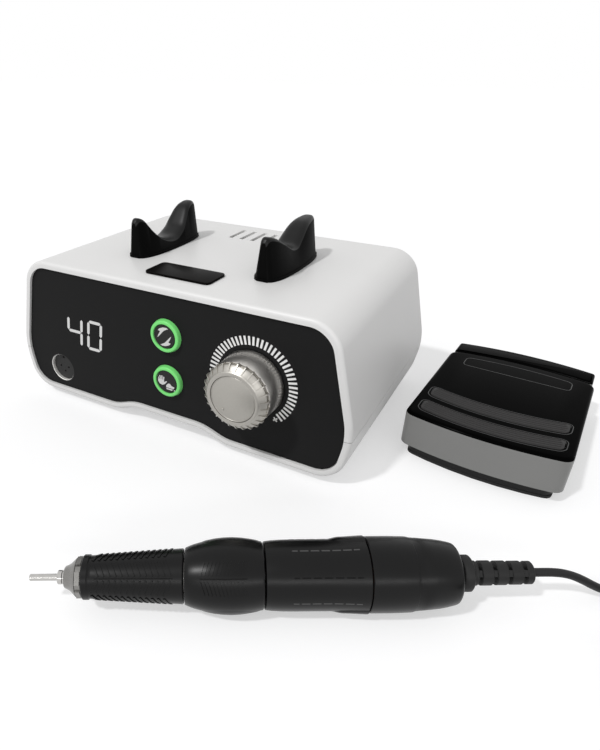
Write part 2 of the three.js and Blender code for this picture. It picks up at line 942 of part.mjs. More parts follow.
function buttons() {
  const frontY = frontPanel.recess;
  Object.entries(buttonPlaces).forEach(([name, z]) => {
    const ringBackY = frontY - fit.seat / 3;
    const section = ring(
      [
        [button.ringBore, frontY + button.barrelLength],
        [button.ringBore, frontY - button.ringProud / 2],
        [button.ringBore + button.ringProud / 3, frontY - button.ringProud],
        [button.ringRadius - button.ringProud / 2, frontY - button.ringProud],
        [button.ringRadius, frontY - button.ringProud / 2],
        [button.ringRadius, ringBackY],
        [button.barrelRadius, ringBackY],
        [button.barrelRadius, frontY + button.barrelLength],
      ],
      round.fine,
    );
    piece(unit, `${name}_button_ring`, section.translate(button.x, 0, z), finish.greenRing);

    const flangeY = frontY + button.barrelLength + fit.seat;
    const cap = turned(
      [
        [0, frontY - button.capProud + button.capDish],
        [button.capRadius - button.capProud, frontY - button.capProud],
        [button.capRadius, frontY - button.capProud / 2],
        [button.capRadius, flangeY],
        [button.flangeRadius, flangeY],
        [button.flangeRadius, flangeY + button.flangeThickness],
        [button.stemRadius, flangeY + button.flangeThickness],
        [button.stemRadius, flangeY + button.flangeThickness + button.stemLength],
        [0, flangeY + button.flangeThickness + button.stemLength],
      ],
      round.medium,
    );
    piece(unit, `${name}_button`, cap.translate(button.x, 0, z), finish.blackPlastic);

    const plungerY = flangeY + button.flangeThickness + button.stemLength + button.travel + fit.running;
    const half = tactSwitch.width / 2;
    const body = block(
      [button.x - half, button.x + half],
      [plungerY + tactSwitch.plungerHeight, displayBoard.frontY - fit.seat],
      [z - half, z + half],
    );
    const plunger = rod(tactSwitch.plungerRadius, plungerY, displayBoard.frontY - fit.seat * 2, round.small);
    piece(unit, `${name}_switch`, join(body, plunger.translate(button.x, 0, z)), finish.blackPlastic);
  });
}

function speedControl() {
  const baseY = frontPanel.recess - knob.standOff;
  const neckY = baseY - knob.neckLength;
  const bandY = neckY - knob.ridgeBand;
  const slopeY = bandY - knob.slopeLength;
  const rimY = slopeY - knob.rimLength;
  const faceY = rimY + knob.faceSink;
  const seatY = faceY + knob.faceThickness + fit.seat;
  const core = turned(
    [
      [0, rimY],
      [knob.rimRadius - knob.rimEdge, rimY],
      [knob.rimRadius, rimY + knob.rimEdge],
      [knob.slopeRadius, slopeY],
      [knob.ridgeRadius, bandY],
      [knob.ridgeRadius, neckY],
      [knob.neckRadius, neckY],
      [knob.baseRadius, baseY],
      [0, baseY],
    ],
    round.fine,
  );
  const shaftEndY = baseY - potentiometer.shaftProud;
  const body = cut(
    core,
    rod(knob.faceRadius + fit.seat, rimY - fit.overrun, seatY, round.fine),
    rod(knob.hollowRadius, baseY - knob.hollowDepth, baseY + fit.overrun),
    rod(potentiometer.shaftRadius + fit.seat, shaftEndY - fit.seat, baseY + fit.overrun),
  );
  piece(unit, 'speed_knob', body.translate(knob.x, 0, knob.z), finish.nickel);

  const mark = new THREE.SphereGeometry(knob.markSize, round.small, round.tiny);
  mark.translate(knob.markRadius * Math.cos(knobMarkAngle), faceY, knob.markRadius * Math.sin(knobMarkAngle));
  const face = cut(rod(knob.faceRadius, faceY, faceY + knob.faceThickness, round.fine), mark);
  piece(unit, 'speed_knob_face', face.translate(knob.x, 0, knob.z), finish.nickel);

  const bodyY = panelBackY + fit.seat;
  const nutY = frontPanel.recess - fit.seat;
  const bush = join(
    rod(potentiometer.bodyRadius, bodyY, bodyY + potentiometer.bodyLength),
    rod(potentiometer.bushRadius, baseY - potentiometer.bushProud, bodyY + fit.sink),
    rod(potentiometer.nutRadius, nutY - potentiometer.nutThickness, nutY, round.tiny),
  );
  const bore = rod(potentiometer.shaftRadius + fit.running, baseY - knob.neckLength, housing.depth);
  piece(unit, 'potentiometer_body', cut(bush, bore).translate(knob.x, 0, knob.z), finish.iron);
  const tailY = bodyY + potentiometer.bodyLength + potentiometer.tail;
  const shaft = rod(potentiometer.shaftRadius, shaftEndY, tailY);
  piece(unit, 'potentiometer_shaft', shaft.translate(knob.x, 0, knob.z), finish.whiteNylon);
}

// The socket: a bright sleeve flush with the film, on a mounting plate behind the panel, and a deeper insert
function motorSocket() {
  const frontY = frontPanel.recess;
  const backY = frontY + socket.length;
  const sleeveRing = ring(
    [
      [socket.bore, backY],
      [socket.bore, frontY - socket.proud],
      [socket.barrelRadius, frontY - socket.proud],
      [socket.barrelRadius, backY],
    ],
    round.fine,
  );
  const flangeY = panelBackY + fit.seat;
  const plate = cut(
    block(
      [-socket.flangeHalfWidth, socket.flangeHalfWidth],
      [flangeY, flangeY + socket.flangeThickness],
      [-socket.flangeBelow, socket.flangeAbove],
    ),
    rod((socket.bore + socket.barrelRadius) / 2, frontY, backY, round.fine),
  );
  const sleeveAndPlate = join(sleeveRing, plate).translate(socketX, 0, socket.z);
  piece(unit, 'motor_socket_ring', sleeveAndPlate, finish.steel);

  const faceY = frontY + socket.recess;
  const insertRadius = socket.bore - fit.seat / 3;
  const insert = rod(insertRadius, faceY, faceY + socket.insertLength, round.fine);
  const holes = socketPinAngles.map((angle) => {
    const hole = rod(socket.pinHoleRadius, faceY - fit.overrun, faceY + socket.pinDepth, round.tiny);
    return hole.translate(...onCircle(socket.pinCircle, angle));
  });
  const key = block(
    [-socket.keyWidth / 2, socket.keyWidth / 2],
    [faceY - fit.overrun, faceY + socket.pinDepth],
    [insertRadius - socket.keyHeight, insertRadius + fit.overrun],
  );
  const body = cut(insert, ...holes, key).translate(socketX, 0, socket.z);
  piece(unit, 'motor_socket_insert', body, finish.blackPlastic);
}

function topBadge() {
  const outline = rectangle(badge.width, badge.length, badge.corner, edgeSteps.badge);
  const bottomZ = housing.topZ + fit.seat / 2;
  const plate = prism(outline, bottomZ, bottomZ + badge.thickness, alongZ).translate(0, badge.y, 0);
  const pins = badgePins().map(([x, y]) => {
    return post(badge.pinRadius, x, y, housing.topZ - badge.pinReach, bottomZ + fit.sink, round.tiny);
  });
  piece(unit, 'top_badge', join(plate, ...pins), finish.glossBlack);
}

// Half width of a handpiece rest along its length: a slim lens with blunt ends
function restHalfWidth(share) {
  const bow = Math.sqrt(Math.max(0, 1 - (2 * share - 1) ** 4));
  return rest.endHalfWidth + (rest.halfWidth - rest.endHalfWidth) * bow;
}

function handpieceRests() {
  const levels = restCrestShares.map(([share, rise]) => {
    const half = restHalfWidth(share);
    const height = rest.height * rise;
    const topHalf = half - rest.draft * rise;
    const top = restCrownShares.map((step) => {
      return new THREE.Vector2(step * topHalf, height - rest.crown * Math.abs(step) ** 3);
    });
    const flare = half + rest.flange;
    const left = [new THREE.Vector2(-flare, 0), new THREE.Vector2(-flare, rest.flangeHeight)];
    const right = [new THREE.Vector2(flare, rest.flangeHeight), new THREE.Vector2(flare, 0)];
    const sides = [-half, half].map((x) => new THREE.Vector2(x, rest.flangeHeight + fit.seat));
    return { outline: [...left, sides[0], ...top, sides[1], ...right], at: restFrontY + share * rest.length };
  });
  const baseZ = housing.topZ + fit.seat / 2;
  const pegs = restPegs();
  ['left', 'right'].forEach((side, i) => {
    const x = i === 0 ? -rest.x : rest.x;
    const saddle = loft(levels, alongY).translate(x, 0, baseZ);
    const own = pegs.slice(2 * i, 2 * i + 2).map(([px, py]) => {
      return post(rest.pegRadius, px, py, housing.topZ - rest.pegReach, baseZ + rest.flangeHeight);
    });
    piece(unit, `handpiece_rest_${side}`, join(saddle, ...own), finish.blackPlastic);
  });
}

function inside() {
  const transformerY = housing.depth - transformer.rearInset;
  const core = block(
    [transformer.x - transformer.width / 2, transformer.x + transformer.width / 2],
    [transformerY - transformer.coreDepth / 2, transformerY + transformer.coreDepth / 2],
    [floorZ + fit.seat, floorZ + fit.seat + transformer.height],
  );
  const middleZ = floorZ + fit.seat + transformer.height / 2;
  const winding = block(
    [transformer.x - transformer.windingWidth / 2, transformer.x + transformer.windingWidth / 2],
    [transformerY - transformer.windingDepth / 2, transformerY + transformer.windingDepth / 2],
    [middleZ - transformer.windingHeight / 2, middleZ + transformer.windingHeight / 2],
  );
  piece(unit, 'mains_transformer', join(core, winding), finish.iron);

  const topZ = powerBoard.bottomZ + powerBoard.thickness;
  const board = block(
    [powerBoard.left, powerBoard.right],
    [boardFrontY, boardRearY],
    [powerBoard.bottomZ, topZ],
  );
  const canY = boardFrontY + capacitor.frontInset;
  const cans = Array.from({ length: capacitorCount }, (_, i) => {
    const x = capacitor.firstX + i * capacitor.spacing;
    return post(capacitor.radius, x, canY, topZ - fit.sink, topZ + capacitor.height);
  });
  const sinkX = [heatSink.x - heatSink.width / 2, heatSink.x + heatSink.width / 2];
  const sinkMiddleY = boardFrontY + heatSink.frontInset;
  const sinkY = [sinkMiddleY - heatSink.depth / 2, sinkMiddleY + heatSink.depth / 2];
  const cooler = block(sinkX, sinkY, [topZ - fit.sink, topZ + heatSink.height]);
  piece(unit, 'power_board', join(board, ...cans, cooler), finish.circuitBoard);
}

function rearFittings() {
  const backY = rearPanelBackY;
  const flangeY = backY + fit.seat / 3;
  const clear = 2 * fit.seat;
  const plate = cut(
    prism(housingOutline(rearPanel.inset + fit.seat), rearPanelFrontY, backY, alongY),
    prism(rectangle(inlet.bodyWidth + clear, inlet.bodyHeight + clear, fit.seat, 1), 0, 2 * backY, alongY)
      .translate(inlet.x, 0, inlet.z),
    prism(rectangle(rocker.bodyWidth + clear, rocker.bodyHeight + clear, fit.seat, 1), 0, 2 * backY, alongY)
      .translate(rocker.x, 0, rocker.z),
    rod(footSocket.barrelRadius + fit.seat, 0, 2 * backY).translate(footSocket.x, 0, footSocket.z),
  );
  piece(unit, 'rear_panel', plate, finish.whitePlastic);

  const box = (item, width, height, from, to) => {
    const [x, z] = [width / 2, height / 2];
    return block([-x, x], [from, to], [-z, z]).translate(item.x, 0, item.z);
  };
  const inletBackY = flangeY + inlet.flangeThickness;
  const inletBody = cut(
    join(
      box(inlet, inlet.flangeWidth, inlet.flangeHeight, flangeY, inletBackY),
      box(inlet, inlet.bodyWidth, inlet.bodyHeight, backY - inlet.bodyDepth, flangeY + fit.sink),
    ),
    box(inlet, inlet.wellWidth, inlet.wellHeight, inletBackY - inlet.wellDepth, inletBackY + fit.overrun),
  );
  const blades = [-1, 0, 1].map((step) => {
    const well = inletBackY - inlet.wellDepth;
    const blade = box(inlet, inlet.pinWidth, inlet.pinHeight, well - fit.sink, well + inlet.pinLength);
    return blade.translate(step * inlet.pinPitch, 0, 0);
  });
  piece(unit, 'mains_inlet', join(inletBody, ...blades), finish.blackPlastic);

  const rockerBackY = flangeY + rocker.flangeThickness;
  const pivotY = rockerBackY - rocker.endHeight / 2;
  const pinHalf = rocker.wellWidth / 2 + rocker.pinReach;
  const holeHalf = pinHalf + fit.seat;
  const pinHole = lying(rod(rocker.pinRadius + fit.running / 2, -holeHalf, holeHalf, round.small));
  const switchBody = cut(
    join(
      box(rocker, rocker.flangeWidth, rocker.flangeHeight, flangeY, rockerBackY),
      box(rocker, rocker.bodyWidth, rocker.bodyHeight, backY - rocker.bodyDepth, flangeY + fit.sink),
    ),
    box(
      rocker,
      rocker.wellWidth,
      rocker.wellHeight,
      rockerBackY - rocker.wellDepth,
      rockerBackY + fit.overrun,
    ),
    pinHole.translate(rocker.x, pivotY, rocker.z),
  );
  piece(unit, 'power_switch_body', switchBody, finish.blackPlastic);
  const section = [
    [-rocker.halfLength, 0],
    [-rocker.rootHalfLength, -rocker.rootDepth],
    [rocker.rootHalfLength, -rocker.rootDepth],
    [rocker.halfLength, 0],
    [rocker.halfLength, rocker.endHeight],
    [0, rocker.middleHeight],
    [-rocker.halfLength, rocker.endHeight],
  ].map(([z, y]) => new THREE.Vector2(y, z));
  const halfWidth = rocker.wellWidth / 2 - fit.running;
  const paddle = prism(section, -halfWidth, halfWidth, alongX);
  const pin = lying(rod(rocker.pinRadius, -pinHalf, pinHalf, round.small));
  const lever = join(paddle, pin).rotateX(rockerTilt).translate(rocker.x, pivotY, rocker.z);
  piece(unit, 'power_rocker', lever, finish.blackPlastic);

  const collarY = flangeY + footSocket.flangeThickness;
  const jack = cut(
    join(
      rod(footSocket.flangeRadius, flangeY, collarY, round.medium),
      rod(footSocket.barrelRadius, backY - footSocket.depth, flangeY + fit.sink, round.medium),
    ),
    rod(footSocket.wellRadius, collarY - footSocket.wellDepth, collarY + fit.overrun),
  );
  const well = collarY - footSocket.wellDepth;
  const contacts = contactAngles.map((angle) => {
    const contact = rod(footSocket.pinRadius, well - fit.sink, well + footSocket.pinLength, round.tiny);
    return contact.translate(...onCircle(footSocket.pinCircle, angle));
  });
  piece(unit, 'foot_socket', join(jack, ...contacts).translate(footSocket.x, 0, footSocket.z), finish.steel);
}

// Plan of the pedal: straight sides, ends that bow outwards, small corner radii
function pedalPlan(halfWidth, frontY, rearY, frontBulge, rearBulge, radius) {
  const bowSteps = 6;
  const bow = (from, to, y, bulge) => {
    return Array.from({ length: bowSteps - 1 }, (_, i) => {
      const x = from + ((to - from) * (i + 1)) / bowSteps;
      return { x, y: y + bulge * (1 - (x / halfWidth) ** 2), radius: 0, steps: 0 };
    });
  };
  const corner = (x, y) => ({ x, y, radius, steps: 3 });
  return roundCorners(
    [
      corner(halfWidth, frontY),
      corner(halfWidth, rearY),
      ...bow(halfWidth, -halfWidth, rearY, rearBulge),
      corner(-halfWidth, rearY),
      corner(-halfWidth, frontY),
      ...bow(-halfWidth, halfWidth, frontY, -frontBulge),
    ],
    0,
  );
}

const pedalFrontY = -pedal.length / 2 + pedal.endBulge;
const pedalRearY = pedal.length / 2 - pedal.endBulge;
const pedalStepY = pedalRearY - pedal.rearLength;
const pedalPivotY = pedalStepY - pedal.pivotFromStep;

// Outline of a grip strip: a bar bent towards the toe end
function gripOutline(middleY, grow) {
  const steps = 6;
  const half = grip.width / 2 + grow;
  const depth = grip.depth / 2 + grow;
  const bend = (x) => middleY + grip.bulge * (x / half) ** 2 - grip.bulge;
  const edge = (direction, offset) => {
    return Array.from({ length: steps - 1 }, (_, i) => {
      const x = direction * (half - ((i + 1) * 2 * half) / steps);
      return { x, y: bend(x) + offset, radius: 0, steps: 0 };
    });
  };
  const corner = (x, y) => ({ x, y, radius: grip.corner, steps: 2 });
  return roundCorners(
    [
      corner(half, bend(half) - depth),
      corner(half, bend(half) + depth),
      ...edge(1, depth),
      corner(-half, bend(half) + depth),
      corner(-half, bend(half) - depth),
      ...edge(-1, -depth),
    ],
    0,
  );
}

function footPedal() {
  const half = pedal.width / 2;
  const topLevels = (inset, narrow, front, rear, bulges, from) => {
    const plan = (extra) => {
      const shrink = inset + extra;
      const ends = [front + shrink, rear - shrink];
      return pedalPlan(half - narrow - shrink, ...ends, ...bulges, pedal.corner);
    };
    const topZ = pedal.height - inset;
    return [
      { outline: plan(0), at: from },
      { outline: plan(0), at: topZ - pedal.edge },
      { outline: plan(pedal.edge * pedalEdgeShare), at: topZ - pedal.edge * pedalEdgeShare },
      { outline: plan(pedal.edge), at: topZ },
    ];
  };
  const stepGap = fit.running * 3;
  const bow = pedal.endBulge;
  const treadleRearY = pedalStepY - stepGap;
  const outer = loft(topLevels(0, 0, pedalFrontY, treadleRearY, [bow, bow], pedal.skirtZ), alongZ);
  const hollow = loft(topLevels(pedal.wall, 0, pedalFrontY, treadleRearY, [bow, bow], 0), alongZ);
  const rearSlot = block(
    [-half + pedal.wall, half - pedal.wall],
    [pedalStepY - pedal.corner * 2, pedalStepY + pedal.corner * 2],
    [0, pedal.baseWallZ + fit.overrun],
  );
  const frontGripY = pedalFrontY + grip.frontOffset;
  const gripPlaces = { front: frontGripY, rear: frontGripY + grip.pitch };
  const pockets = Object.values(gripPlaces).map((y) => {
    return prism(gripOutline(y, fit.seat), pedal.height - grip.sink, pedal.height + fit.overrun, alongZ);
  });
  const pinHole = lying(rod(pedal.pinRadius + fit.running / 2, -pedal.width, pedal.width, round.small))
    .translate(0, pedalPivotY, pedal.pivotZ);
  const treadle = cut(outer, hollow, rearSlot, ...pockets, pinHole);
  piece(pedalGroup, 'pedal_treadle', treadle, finish.glossBlack);

  Object.entries(gripPlaces).forEach(([name, y]) => {
    const bottomZ = pedal.height - grip.sink + fit.seat;
    const topZ = pedal.height + grip.proud;
    const strip = prism(gripOutline(y, 0), bottomZ, topZ, alongZ);
    piece(pedalGroup, `pedal_grip_${name}`, strip, finish.rubber);
  });

  const inner = half - pedal.baseInset;
  const baseZ = pedal.soleThickness + fit.seat;
  const trayFrontY = pedalFrontY + pedal.baseInset;
  const floorTopZ = baseZ + pedal.baseFloor;
  const radius = pedal.corner;
  const tray = cut(
    prism(pedalPlan(inner, trayFrontY, pedalStepY, bow, 0, radius), baseZ, pedal.baseWallZ, alongZ),
    prism(
      pedalPlan(inner - pedal.wall, trayFrontY + pedal.wall, pedalStepY - pedal.wall, bow, 0, radius),
      floorTopZ,
      pedal.baseWallZ + fit.overrun,
      alongZ,
    ),
  );
  const narrow = pedal.rearNarrow;
  const rearPlanFrom = pedalStepY - pedal.endBulge;
  const heelBlock = loft(topLevels(0, narrow, rearPlanFrom, pedalRearY, [0, bow], baseZ), alongZ);
  const stepFront = pedalPlan(pedal.width, pedalFrontY, pedalStepY - 3 * bow, bow, 4 * bow, radius);
  const heel = cut(
    heelBlock,
    prism(stepFront, floorTopZ, pedal.height + fit.overrun, alongZ),
    block(
      [-inner + pedal.wall, inner - pedal.wall],
      [pedalStepY - pedal.length, pedalRearY - pedal.wall],
      [floorTopZ, pedal.height - pedal.wall],
    ),
  );
  const base = cut(
    join(tray, common(heel, block([-half, half], [-pedal.length, pedal.length], [baseZ, pedal.height]))),
    lying(rod(pedal.pinRadius + fit.seat, -pedal.width, pedal.width, round.small))
      .translate(0, pedalPivotY, pedal.pivotZ),
  );
  piece(pedalGroup, 'pedal_base', base, finish.blackPlastic);
  const solePlan = pedalPlan(inner, trayFrontY, pedalRearY - pedal.corner, bow, 0, radius);
  const sole = prism(solePlan, 0, pedal.soleThickness, alongZ);
  piece(pedalGroup, 'pedal_sole', sole, finish.rubber);

  const pinEnd = half - fit.seat;
  const pin = lying(rod(pedal.pinRadius, -pinEnd, pinEnd, round.small));
  piece(pedalGroup, 'pedal_pivot_pin', pin.translate(0, pedalPivotY, pedal.pivotZ), finish.steel);

  const switchZ = floorTopZ + fit.seat;
  const hollowTopZ = pedal.height - pedal.wall;
  const switchDrop = (pedalPivotY - pedalSwitch.y) * Math.sin(pedalTravel);
  const leverTopZ = hollowTopZ - switchDrop - fit.running;
  const microswitch = join(
    block(
      [-pedalSwitch.width / 2, pedalSwitch.width / 2],
      [pedalSwitch.y - pedalSwitch.depth / 2, pedalSwitch.y + pedalSwitch.depth / 2],
      [switchZ, switchZ + pedalSwitch.height],
    ),
    block(
      [-pedalSwitch.width / 6, pedalSwitch.width / 6],
      [pedalSwitch.y - pedalSwitch.depth / 4, pedalSwitch.y + pedalSwitch.depth / 4],
      [switchZ + pedalSwitch.height - fit.sink, leverTopZ],
    ),
  );
  piece(pedalGroup, 'pedal_microswitch', microswitch, finish.blackPlastic);

  const wire = pedalSpring.wire / 2;
  const rise = hollowTopZ - fit.seat - switchZ - pedalSpring.wire;
  const steps = pedalSpringSteps * pedalSpringTurns;
  const helix = Array.from({ length: steps + 1 }, (_, i) => {
    const angle = (turn * i) / pedalSpringSteps;
    const z = switchZ + wire + (rise * i) / steps;
    return new THREE.Vector3(pedalSpring.radius * Math.cos(angle), pedalSpring.radius * Math.sin(angle), z);
  });
  const spring = tube(helix, wire, pedalSpringSides).translate(pedalSpring.x, pedalSpring.y, 0);
  piece(pedalGroup, 'pedal_spring', spring, finish.steel);
}

const axisZ = motorCase.rearRadius;

function handpiecePiece(name, geometry, material) {
  return piece(handpieceGroup, name, lying(geometry).translate(0, 0, axisZ), material);
}

function blend(from, to, share) {
  return from + (to - from) * share;
}

function handpieceFront() {
  handpiecePiece('bur_shank', rod(shank.radius, shank.tip, shank.end, round.small), finish.steel);

  const bore = shank.radius + fit.seat;
  const colletBody = ring(
    [
      [bore, collet.front],
      [collet.radius, collet.front],
      [collet.lipRadius, collet.front + fit.sink],
      [collet.lipRadius, nose.front],
      [collet.radius, nose.front + fit.sink],
      [collet.radius, collet.rear],
      [bore, collet.rear],
    ],
    round.coarse,
  );
  handpiecePiece('collet', colletBody, finish.steel);

  const cone = ring(
    [
      [nose.bore, nose.front],
      [nose.frontRadius, nose.front],
      [nose.bandRadius, nose.bandEnd],
      [nose.coneRadius, nose.coneEnd - fit.sink],
      [nose.coneRadius, nose.coneEnd],
      [nose.sleeveRadius, nose.coneEnd],
      [nose.sleeveRadius, nose.rear],
      [nose.bearingBore, nose.rear],
      [nose.bearingBore, nose.bearingFront],
      [nose.bore, nose.bearingFront],
    ],
    round.medium,
  );
  handpiecePiece('nose_cone', cone, finish.nickel);

  const sleeveBore = nose.sleeveRadius + fit.seat;
  const body = ring(
    [
      [sleeveBore, sleeve.lipFront],
      [sleeve.lip - fit.sink, sleeve.lipFront],
      [sleeve.lip, sleeve.lipFront + fit.sink],
      [sleeve.lip, sleeve.lipEnd],
      [sleeve.frontRadius, sleeve.lipEnd],
      [sleeve.rearRadius, sleeve.rear],
      [sleeveBore, sleeve.rear],
    ],
    round.medium,
  );
  handpiecePiece('nose_sleeve', body, finish.rubber);

  const flank = lockRingFlankShares.map(([along, rise]) => [
    blend(lockRing.shoulderRadius, lockRing.crestRadius, rise),
    blend(lockRing.shoulder, lockRing.crest, along),
  ]);
  const tail = [
    blend(lockRing.crestRadius, lockRing.rearRadius, lockRingTailShares.inwards),
    blend(lockRing.crest, lockRing.rear, lockRingTailShares.along),
  ];
  const lock = ring(
    [
      [lockRing.bore, lockRing.front],
      [lockRing.frontRadius, lockRing.front],
      [lockRing.shoulderRadius, lockRing.shoulder],
      ...flank,
      [lockRing.crestRadius, lockRing.crest],
      tail,
      [lockRing.rearRadius, lockRing.rear],
      [lockRing.bore, lockRing.rear],
    ],
    round.medium,
  );
  handpiecePiece('chuck_lock_ring', lock, finish.blackPlastic);
}

function handpieceMotor() {
  const wall = motorCase.wall;
  const noseFront = motorCase.front - motorCase.noseLength;
  const waistFront = motorCase.front + motorCase.frontLength;
  const bulgeFront = waistFront + motorCase.waistLength;
  const inner = stator.outer + fit.seat;
  const body = ring(
    [
      [nose.sleeveRadius + fit.seat, noseFront],
      [motorCase.noseRadius, noseFront],
      [motorCase.noseRadius, motorCase.front],
      [motorCase.frontRadius, motorCase.front],
      [motorCase.waistRadius, waistFront],
      [motorCase.waistRadius, bulgeFront],
      [motorCase.bulgeRadius, bulgeFront + motorCase.bulgeLength],
      [motorCase.rearRadius, motorCase.rear - fit.overrun],
      [motorCase.rearRadius, motorCase.rear],
      [rearCap.spigotRadius + fit.seat, motorCase.rear],
      [rearCap.spigotRadius + fit.seat, motorCase.rear - rearCap.spigotLength - fit.seat],
      [inner, motorCase.rear - rearCap.spigotLength - fit.seat],
      [inner, motorCase.front + wall],
      [nose.sleeveRadius + fit.seat, motorCase.front + wall],
    ],
    round.medium,
  );
  handpiecePiece('motor_housing', body, finish.blackPlastic);

  const capWall = stator.outer + fit.seat;
  const hold = bearing.rearOuter + fit.seat;
  const bearingFront = bearing.rearY;
  const cap = ring(
    [
      [capWall, rearCap.front - rearCap.spigotLength],
      [rearCap.spigotRadius, rearCap.front - rearCap.spigotLength],
      [rearCap.spigotRadius, rearCap.front],
      [rearCap.frontRadius, rearCap.front],
      [rearCap.bandRadius, rearCap.bandRear],
      [rearCap.shoulderRadius, rearCap.shoulder],
      [rearCap.rearRadius, rearCap.rear - fit.sink],
      [rearCap.rearRadius - fit.sink, rearCap.rear],
      [rearCap.cordHole, rearCap.rear],
      [rearCap.cordHole, rearCap.rear - rearCap.endWall],
      [hold + rearCap.wall, rearCap.rear - rearCap.endWall],
      [hold, bearingFront + bearing.width + fit.seat],
      [hold, bearingFront],
      [capWall, bearingFront - rearCap.wall],
    ],
    round.medium,
  );
  handpiecePiece('rear_cap', cap, finish.blackPlastic);

  const collar = [
    [relief.neckRadius, relief.neck],
    [relief.neckRadius, relief.collar],
    [relief.collarRadius, relief.collar],
    [relief.collarRadius, relief.collarEnd],
    [relief.blockRadius, relief.collarEnd],
  ];
  const blocks = Array.from({ length: relief.blockCount }, (_, i) => {
    const radius = blend(relief.blockRadius, relief.lastBlockRadius, i / (relief.blockCount - 1));
    const rear = relief.end - (relief.blockCount - 1 - i) * relief.blockPitch;
    const front = rear - relief.blockLength;
    const climb = i === 0 ? [] : [[relief.coreRadius, front], [radius, front]];
    const fall = i === relief.blockCount - 1 ? [] : [[relief.coreRadius, rear]];
    return [...climb, [radius, rear], ...fall];
  }).flat();
  const strainRelief = turned(
    [
      [0, relief.root - relief.flangeLength],
      [relief.flangeRadius, relief.root - relief.flangeLength],
      [relief.flangeRadius, relief.root],
      [relief.rootRadius, relief.root + fit.seat],
      [relief.rootRadius, relief.neck],
      ...collar,
      ...blocks,
      [0, relief.end],
    ],
    round.small,
  );
  handpiecePiece('strain_relief', strainRelief, finish.rubber);
}

function handpieceInside() {
  const axle = rod(spindle.radius, collet.rear + fit.seat, spindle.rear);
  handpiecePiece('spindle', axle, finish.steel);

  const race = (outer, front) =>
    ring(
      [
        [spindle.radius + fit.running, front],
        [outer, front],
        [outer, front + bearing.width],
        [spindle.radius + fit.running, front + bearing.width],
      ],
      round.coarse,
    );
  handpiecePiece('front_bearing', race(bearing.outer, bearing.frontY), finish.steel);
  handpiecePiece('rear_bearing', race(bearing.rearOuter, bearing.rearY), finish.steel);

  const magnet = ring(
    [
      [spindle.radius + fit.seat, rotor.front],
      [rotor.radius, rotor.front],
      [rotor.radius, rotor.rear],
      [spindle.radius + fit.seat, rotor.rear],
    ],
    round.coarse,
  );
  handpiecePiece('motor_rotor', magnet, finish.iron);
  const coils = ring(
    [
      [stator.inner, stator.front],
      [stator.outer, stator.front],
      [stator.outer, stator.rear],
      [stator.inner, stator.rear],
    ],
    round.coarse,
  );
  handpiecePiece('motor_stator', coils, finish.copper);
}

// Path of the wound cord: loops that go in and out again, one layer on the other, then a straight tail
function coilPath() {
  const perLayer = coilTurns / coilLayers;
  const centre = { x: coil.entryX, y: -coil.outerRadius };
  const steps = Math.round(coilTurns * coilSteps);
  const points = Array.from({ length: steps + 1 }, (_, i) => {
    const at = (coilTurns * i) / steps;
    const layer = Math.min(Math.floor(at / perLayer), coilLayers - 1);
    const along = at - layer * perLayer;
    const inwards = layer % 2 === 0 ? along : perLayer - along;
    const radius = coil.outerRadius - inwards * coil.pitch;
    const nearest = Math.round(at / perLayer);
    const climbing = nearest > 0 && nearest < coilLayers;
    const reverse = nearest * perLayer;
    const climb = THREE.MathUtils.smoothstep(at, reverse - coilClimbShare, reverse + coilClimbShare);
    const height = climbing ? nearest - 1 + climb : layer;
    const angle = turn / 4 - turn * at;
    return new THREE.Vector3(
      centre.x + radius * Math.cos(angle),
      centre.y + radius * Math.sin(angle),
      coil.bottomZ + height * coil.pitch,
    );
  });
  const last = points[points.length - 1];
  const tailSteps = 8;
  const tailEndZ = plug.radius + fit.seat;
  for (let i = 1; i <= tailSteps; i += 1) {
    const share = i / tailSteps;
    const slip = THREE.MathUtils.smoothstep(share, 0, coilTailShares.slipEnd);
    const rise = THREE.MathUtils.smoothstep(share, coilTailShares.riseStart, coilTailShares.riseEnd);
    const [x, y] = [last.x - coil.tail * share, last.y - coil.tailSlip * slip];
    points.push(new THREE.Vector3(x, y, blend(last.z, tailEndZ, rise)));
  }
  return points;
}

function pathLength(points) {
  return points.slice(1).reduce((sum, point, i) => sum + point.distanceTo(points[i]), 0);
}

// Least air between two stretches of a tube that aren't neighbours along it
function leastGap(points, radius, skip) {
  let least = Infinity;
  points.forEach((point, i) => {
    for (let j = i + skip; j < points.length; j += 1) {
      least = Math.min(least, point.distanceTo(points[j]));
    }
  });
  return least - 2 * radius;
}

